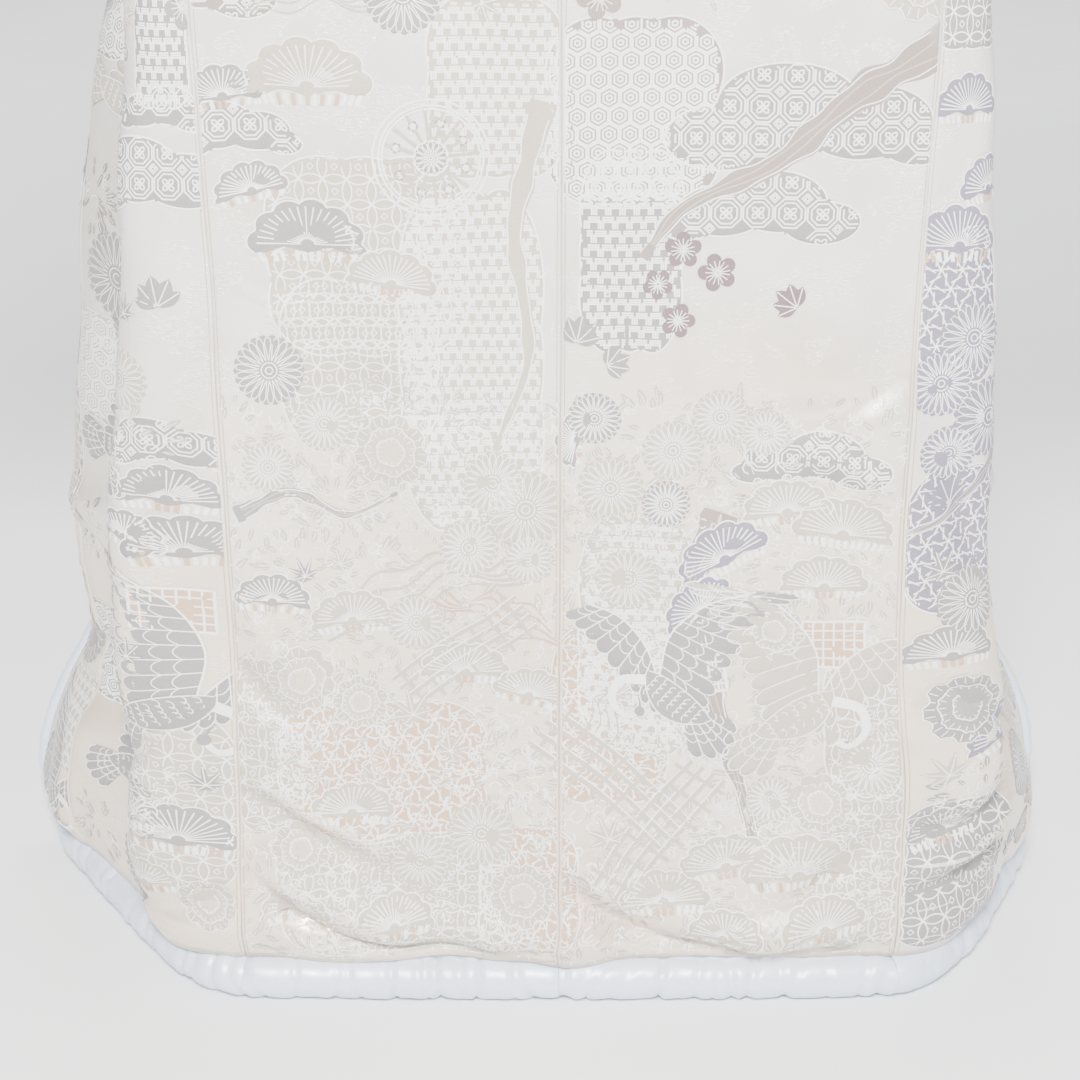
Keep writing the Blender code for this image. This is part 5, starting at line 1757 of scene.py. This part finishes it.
FILLERS = [pine, chrysanthemum, peony, cloud, foliage, pine]
FILLERS += [maple, crane, water, chrysanthemum, field, blossom]


def scatter(fig, low, high, seed, tints):
    """Figures of the same kinds and sizes spread over a stretch of cloth, in staggered rows."""
    chance = np.random.default_rng(seed)
    pitch = 0.082
    rows = int((high[1] - low[1]) / pitch) + 1
    columns = int((high[0] - low[0]) / pitch) + 1
    for row in range(rows):
        for column in range(columns):
            x = low[0] + (column + 0.5 * (row % 2) + chance.uniform(0.1, 0.5)) * pitch
            y = low[1] + (row + chance.uniform(0.2, 0.7)) * pitch
            shape = FILLERS[(3 * row + 5 * column + seed) % len(FILLERS)]
            tint = tints[(row + column + seed) % len(tints)]
            turn = chance.uniform(-0.35, 0.35)
            flip = 1 if (row + column) % 2 else -1
            if shape is field:
                kind = ("ring", "triangle", "hexagon", "basket")[(row + 2 * column) % 4]
                field(fig, x, y, 0.10, 0.09, kind, tint)
            elif shape is cloud:
                cloud(fig, x, y, 0.070, turn, flip, tint)
            elif shape is crane:
                crane(fig, x, y, 0.115, turn, flip, tint)
            elif shape is water:
                water(fig, x, y, 0.055, turn, flip, tint)
            elif shape in (maple, blossom):
                for lean in (0.0, 2.1, 4.2):
                    place = 0.026 * toward(lean + turn)
                    shape(fig, x + place[0], y + place[1], 0.020, lean, flip, tint)
            else:
                shape(fig, x, y, chance.uniform(0.032, 0.044), turn, flip, tint)


def weave(panel, figures, low, high):
    """One piece of woven figures lying on a panel's surface, cut off at the panel's edges."""
    name = f"figures_{panel}"
    surface = SURFACES[panel]
    places = np.concatenate(figures.points)
    tints = np.concatenate(figures.tints)
    faces = np.concatenate(figures.faces)
    inside = ((places[:, :2] > low) & (places[:, :2] < high)).all(1)
    faces = faces[inside[faces].any(1)]
    flat = places.copy()
    flat[:, :2] = np.clip(flat[:, :2], low, high)
    a = flat[faces[:, 1], :2] - flat[faces[:, 0], :2]
    b = flat[faces[:, 2], :2] - flat[faces[:, 0], :2]
    area = np.abs(a[:, 0] * b[:, 1] - a[:, 1] * b[:, 0])
    faces = faces[area > 2e-9]
    used = np.unique(faces)
    new = np.zeros(len(flat), int)
    new[used] = np.arange(len(used))
    faces = new[faces]
    flat = flat[used]
    points = surface.place(flat[:, 0], flat[:, 1], flat[:, 2])
    first = flat[faces[:, 0]]
    none = np.zeros(len(first))
    centre = surface.place(first[:, 0], first[:, 1], none + 0.01)
    base = surface.place(first[:, 0], first[:, 1], none)
    turn = np.cross(points[faces[:, 1]] - points[faces[:, 0]], points[faces[:, 2]] - points[faces[:, 0]])
    wrong = np.sum(turn * (centre - base), axis=1) < 0
    faces[wrong] = faces[wrong][:, ::-1]
    nothing_selected()
    bpy.ops.mesh.primitive_plane_add(size=1.0)
    piece = bpy.context.object
    piece.name = name
    mesh = piece.data
    mesh.name = name
    mesh.clear_geometry()
    mesh.vertices.add(len(points))
    mesh.vertices.foreach_set("co", points.astype(np.float32).ravel())
    mesh.loops.add(len(faces) * 3)
    mesh.loops.foreach_set("vertex_index", faces.astype(np.int32).ravel())
    mesh.polygons.add(len(faces))
    mesh.polygons.foreach_set("loop_start", np.arange(0, len(faces) * 3, 3, dtype=np.int32))
    mesh.update(calc_edges=True)
    mesh.validate()
    for layer in list(mesh.uv_layers):
        mesh.uv_layers.remove(layer)
    cloth_map = mesh.uv_layers.new(name="cloth")
    corners = np.empty(len(mesh.loops), np.int32)
    mesh.loops.foreach_get("vertex_index", corners)
    cloth_map.data.foreach_set("uv", flat[corners, :2].astype(np.float32).ravel())
    tint = mesh.color_attributes.new("tint", "FLOAT_COLOR", "POINT")
    colours = np.column_stack([tints[used], np.ones(len(used))])
    tint.data.foreach_set("color", colours.astype(np.float32).ravel())
    mesh.materials.append(finish("woven_figures"))
    only(piece)
    bpy.ops.object.shade_smooth_by_angle(angle=math.radians(40))
    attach(piece, BODY)


def seam_threads(fig, places, heights, tint):
    """Fine stitched lines up the cloth beside its seams."""
    for place in places:
        up = np.arange(heights[0], heights[1], 0.006)
        fig.line(np.column_stack([np.full(len(up), place), up]), 0.0009, -0.6, tint)


def drawn(fig, design):
    """Adds each figure of a design."""
    for row in design:
        motif = Motif(*row)
        motif.shape(fig, motif.across, motif.height, motif.size, motif.turn, motif.flip, motif.tint)


# How far the figures stay from a panel's seams, and how far in its seams are stitched.
EDGE_CLEAR = 0.0024
STITCH_IN = 0.0034


def weave_all():
    """Draws the whole design and lays it on each panel."""
    top = NECK_ROW + 0.05
    lower = Figures()
    meadow(lower, (-0.31, 0.05), (0.31, 0.60))
    back_ground(lower)
    drawn(lower, BACK_DESIGN)
    upper = Figures()
    scatter(upper, (-0.32, 0.935), (0.32, 1.77), 3, (PALE, GREY, PALE, TAUPE))
    sides = Figures()
    side_ground(sides)
    drawn(sides, SIDE_DESIGN + LEFT_DESIGN)
    for side in (-1, 1):
        word = side_word(side)
        low_edge = HEM_HEIGHT + 0.004
        span = sorted((side * EDGE_CLEAR, side * (BACK_WIDTH - EDGE_CLEAR)))
        whole = Figures()
        whole.join(lower)
        whole.join(upper)
        stitched = [side * STITCH_IN, side * (BACK_WIDTH - STITCH_IN)]
        seam_threads(whole, stitched, (low_edge, SIDE_SEAM_TOP), PEACH)
        weave(f"back_{word}", whole, (span[0], low_edge), (span[1], top))
        front = Figures()
        front.join(sides)
        tints = (LAVENDER, GREY, PALE) if side > 0 else (GREY, PALE, GREY)
        near = sorted((side * 0.425, side * FRONT_SEAM))
        scatter(front, (near[0], 0.06), (near[1], 0.94), 5 + side, tints)
        far = sorted((side * BACK_WIDTH, side * FRONT_SEAM))
        scatter(front, (far[0], 0.94), (far[1], 1.72), 9 + side, tints)
        span = sorted((side * (BACK_WIDTH + EDGE_CLEAR), side * (FRONT_SEAM - EDGE_CLEAR)))
        seam_threads(front, [side * (BACK_WIDTH + STITCH_IN)], (low_edge, SIDE_SEAM_TOP), PEACH)
        weave(f"front_{word}", front, (span[0], low_edge), (span[1], top))
        panel = Figures()
        ends = sorted((side * FRONT_SEAM, side * FULL_WIDTH))
        scatter(panel, (ends[0], 0.06), (ends[1], COLLAR_END_HEIGHT), 15 + side, tints)
        span = sorted((side * (FRONT_SEAM + EDGE_CLEAR), side * (FULL_WIDTH - EDGE_CLEAR)))
        weave(f"overlap_{word}", panel, (span[0], low_edge), (span[1], COLLAR_END_HEIGHT - 0.004))
        for layer in ("back", "front"):
            bag = Figures()
            ends = sorted((side * SHOULDER_WIDTH, side * (SHOULDER_WIDTH + SLEEVE_WIDTH)))
            seed = 21 + side + 4 * (layer == "back")
            scatter(bag, (ends[0], ARM_TOP - SLEEVE_DROP), (ends[1], ARM_TOP - 0.06), seed, (GREY, PALE))
            far = SHOULDER_WIDTH + SLEEVE_WIDTH - 0.004
            span = sorted((side * (SHOULDER_WIDTH + EDGE_CLEAR), side * far))
            low = (span[0], ARM_TOP - SLEEVE_DROP + 0.02)
            weave(f"sleeve_{layer}_{word}", bag, low, (span[1], ARM_TOP - 0.025))


# ---- stage


def make_stage():
    """A pale floor, soft light and the camera."""
    stage = bpy.context.scene.kimono_stage
    floor_level = -SHOULDER_HEIGHT
    nothing_selected()
    bpy.ops.mesh.primitive_plane_add(size=30.0, location=(0.0, 0.0, floor_level - 0.0005))
    floor = bpy.context.object
    floor.name = "floor"
    bpy.ops.object.transform_apply(location=True, rotation=True, scale=True)
    material, nodes, links, shader = new_material("pale_floor", 0.75, 0.0)
    place = nodes.new("ShaderNodeTexCoord").outputs["Object"]
    change = spread(nodes, links, noise(nodes, links, place, 4.0, 3.0), 0.3, 0.7, 0.0, 1.0)
    colour = mixed(nodes, links, change, (0.86, 0.86, 0.86), (0.89, 0.89, 0.89))
    links.new(colour, shader.inputs["Base Color"])
    floor.data.materials.append(material)
    lamps = [
        ("key_light", (-0.15, -3.0, 1.1), (52.0, 0.0, -3.0), 0.8, stage.key_power, (1.0, 0.99, 0.97)),
        ("fill_light", (2.4, -1.9, 0.6), (70.0, 0.0, 52.0), 2.4, stage.fill_power, (0.94, 0.97, 1.0)),
        ("floor_light", (0.0, 4.6, 2.4), (0.0, 0.0, 0.0), 4.0, stage.floor_power, (1.0, 1.0, 1.0)),
        ("front_light", (0.6, 3.2, 1.8), (-55.0, 0.0, 10.0), 2.6, stage.fill_power, (1.0, 1.0, 1.0)),
    ]
    for name, place, turn, size, power, tint in lamps:
        nothing_selected()
        bpy.ops.object.light_add(type="AREA", location=place, rotation=np.radians(turn))
        lamp = bpy.context.object
        lamp.name = name
        lamp.data.shape = "SQUARE"
        lamp.data.size = size
        lamp.data.energy = power
        lamp.data.color = tint
    world = bpy.context.scene.world or bpy.data.worlds.new("sky")
    bpy.context.scene.world = world
    world.use_nodes = True
    background = world.node_tree.nodes["Background"]
    background.inputs["Color"].default_value = (0.95, 0.97, 1.0, 1.0)
    background.inputs["Strength"].default_value = stage.sky_strength
    nothing_selected()
    pitch = stage.camera_pitch
    bpy.ops.object.camera_add(location=(-0.018, -SHOULDER_DEPTH - 2.03, 1.295 + floor_level))
    camera = bpy.context.object
    camera.name = "camera"
    camera.rotation_euler = (math.pi / 2 - pitch, 0.0, 0.0)
    camera.data.sensor_width = 36.0
    camera.data.lens = stage.camera_lens
    camera.data.clip_start = 0.05
    bpy.context.scene.camera = camera


# ---- settings, operators and panel


class KimonoCloth(bpy.types.PropertyGroup):
    """Sizes and colours of the cloth."""

    wall: bpy.props.FloatProperty(
        name="Wall", description="Thickness of the brocade with its lining", default=0.002, unit="LENGTH"
    )
    ground_colour: bpy.props.FloatVectorProperty(
        name="Ground", description="Colour of the satin ground", default=(0.82, 0.80, 0.775), subtype="COLOR"
    )
    # Painted shade: the warmer, darker colour that the satin ground is turned to towards the bottom of the
    # garment.
    ground_painted_shade: bpy.props.FloatVectorProperty(
        name="Ground shade", description="Warmer parts of the satin ground", default=(0.79, 0.67, 0.54),
        subtype="COLOR",
    )
    worked_colour: bpy.props.FloatVectorProperty(
        name="Worked ground", description="Woven stitches in the ground", default=(0.90, 0.87, 0.83),
        subtype="COLOR",
    )


class KimonoHem(bpy.types.PropertyGroup):
    """The padded hem and front edges."""

    colour: bpy.props.FloatVectorProperty(
        name="Hem silk", description="Colour of the plain silk of the rolls", default=(0.70, 0.78, 0.91),
        subtype="COLOR",
    )
    # Painted shade: the hem rolls lie at the foot of the garment, where the satin finish turns mostly to this
    # colour.
    shade: bpy.props.FloatVectorProperty(
        name="Hem shade", description="Duller parts of the hem silk", default=(0.66, 0.73, 0.85), subtype="COLOR"
    )
    pucker: bpy.props.FloatProperty(
        name="Pucker", description="Depth of the puckers across the rolls", default=0.0036, unit="LENGTH"
    )


class KimonoStage(bpy.types.PropertyGroup):
    """Camera and light."""

    camera_pitch: bpy.props.FloatProperty(
        name="Pitch", description="How far the camera looks down", default=math.radians(22.0), subtype="ANGLE"
    )
    camera_lens: bpy.props.FloatProperty(name="Lens", description="Focal length in millimetres", default=81.6)
    key_power: bpy.props.FloatProperty(
        name="Main light", description="Power of the main light", default=500.0, unit="POWER"
    )
    fill_power: bpy.props.FloatProperty(
        name="Fill light", description="Power of the two fill lights", default=40.0, unit="POWER"
    )
    floor_power: bpy.props.FloatProperty(
        name="Floor light", description="Power of the light over the far floor", default=320.0, unit="POWER"
    )
    sky_strength: bpy.props.FloatProperty(
        name="Surroundings", description="Strength of the even light from all round", default=0.72
    )


class KIMONO_OT_body(bpy.types.Operator):
    """Make the two body panels"""

    bl_idname = "kimono.body"
    bl_label = "Body panels"

    def execute(self, context):
        for side in (-1, 1):
            make_body(side)
        return {"FINISHED"}


class KIMONO_OT_overlaps(bpy.types.Operator):
    """Make the two overlap panels"""

    bl_idname = "kimono.overlaps"
    bl_label = "Overlap panels"

    def execute(self, context):
        for side in (-1, 1):
            make_overlap(side)
        return {"FINISHED"}


class KIMONO_OT_sleeves(bpy.types.Operator):
    """Make the two sleeves"""

    bl_idname = "kimono.sleeves"
    bl_label = "Sleeves"

    def execute(self, context):
        for side in (-1, 1):
            make_sleeve(side)
        return {"FINISHED"}


class KIMONO_OT_collar(bpy.types.Operator):
    """Make the collar band"""

    bl_idname = "kimono.collar"
    bl_label = "Collar"

    def execute(self, context):
        make_collar()
        return {"FINISHED"}


class KIMONO_OT_hem(bpy.types.Operator):
    """Make the padded rolls along the hem and up the front edges"""

    bl_idname = "kimono.hem"
    bl_label = "Padded hem"

    def execute(self, context):
        half_gap = SEAM_GAP / 2
        for side in (-1, 1):
            seed = 20 + 10 * side
            make_hem_roll(side, "back", half_gap, BACK_WIDTH - half_gap, seed)
            make_hem_roll(side, "front", BACK_WIDTH + half_gap, FRONT_SEAM - half_gap, seed + 1)
            make_hem_roll(side, "corner", FRONT_SEAM + half_gap, FULL_WIDTH, seed + 2)
            make_edge_roll(side, seed + 3)
        return {"FINISHED"}


class KIMONO_OT_figures(bpy.types.Operator):
    """Weave the figures onto the cloth"""

    bl_idname = "kimono.figures"
    bl_label = "Woven figures"

    def execute(self, context):
        weave_all()
        return {"FINISHED"}


class KIMONO_OT_stage(bpy.types.Operator):
    """Set up the floor, the light and the camera"""

    bl_idname = "kimono.stage"
    bl_label = "Stage"

    def execute(self, context):
        make_stage()
        return {"FINISHED"}


STEPS = [
    KIMONO_OT_stage,
    KIMONO_OT_body,
    KIMONO_OT_overlaps,
    KIMONO_OT_sleeves,
    KIMONO_OT_collar,
    KIMONO_OT_hem,
    KIMONO_OT_figures,
]


class KIMONO_PT_panel(bpy.types.Panel):
    """Lists the steps and their settings"""

    bl_idname = "KIMONO_PT_panel"
    bl_label = "Wedding kimono"
    bl_space_type = "VIEW_3D"
    bl_region_type = "UI"
    bl_category = "Kimono"

    def draw(self, context):
        scene = context.scene
        for settings in (scene.kimono_cloth, scene.kimono_hem, scene.kimono_stage):
            box = self.layout.box()
            for name in settings.__annotations__:
                box.prop(settings, name)
        for step in STEPS:
            self.layout.operator(step.bl_idname)


GROUPS = {"kimono_cloth": KimonoCloth, "kimono_hem": KimonoHem, "kimono_stage": KimonoStage}


def register():
    """Registers the settings, the operators and the panel."""
    for name, group in GROUPS.items():
        bpy.utils.register_class(group)
        setattr(bpy.types.Scene, name, bpy.props.PointerProperty(type=group))
    for kind in [*STEPS, KIMONO_PT_panel]:
        bpy.utils.register_class(kind)


def unregister():
    """Takes them away again."""
    for kind in [KIMONO_PT_panel, *STEPS[::-1]]:
        bpy.utils.unregister_class(kind)
    for name, group in GROUPS.items():
        delattr(bpy.types.Scene, name)
        bpy.utils.unregister_class(group)


def main():
    """Makes the kimono."""
    register()
    bpy.ops.kimono.stage()
    bpy.ops.kimono.body()
    bpy.ops.kimono.overlaps()
    bpy.ops.kimono.sleeves()
    bpy.ops.kimono.collar()
    bpy.ops.kimono.hem()
    bpy.ops.kimono.figures()
    nothing_selected()


if __name__ == "__main__":
    main()
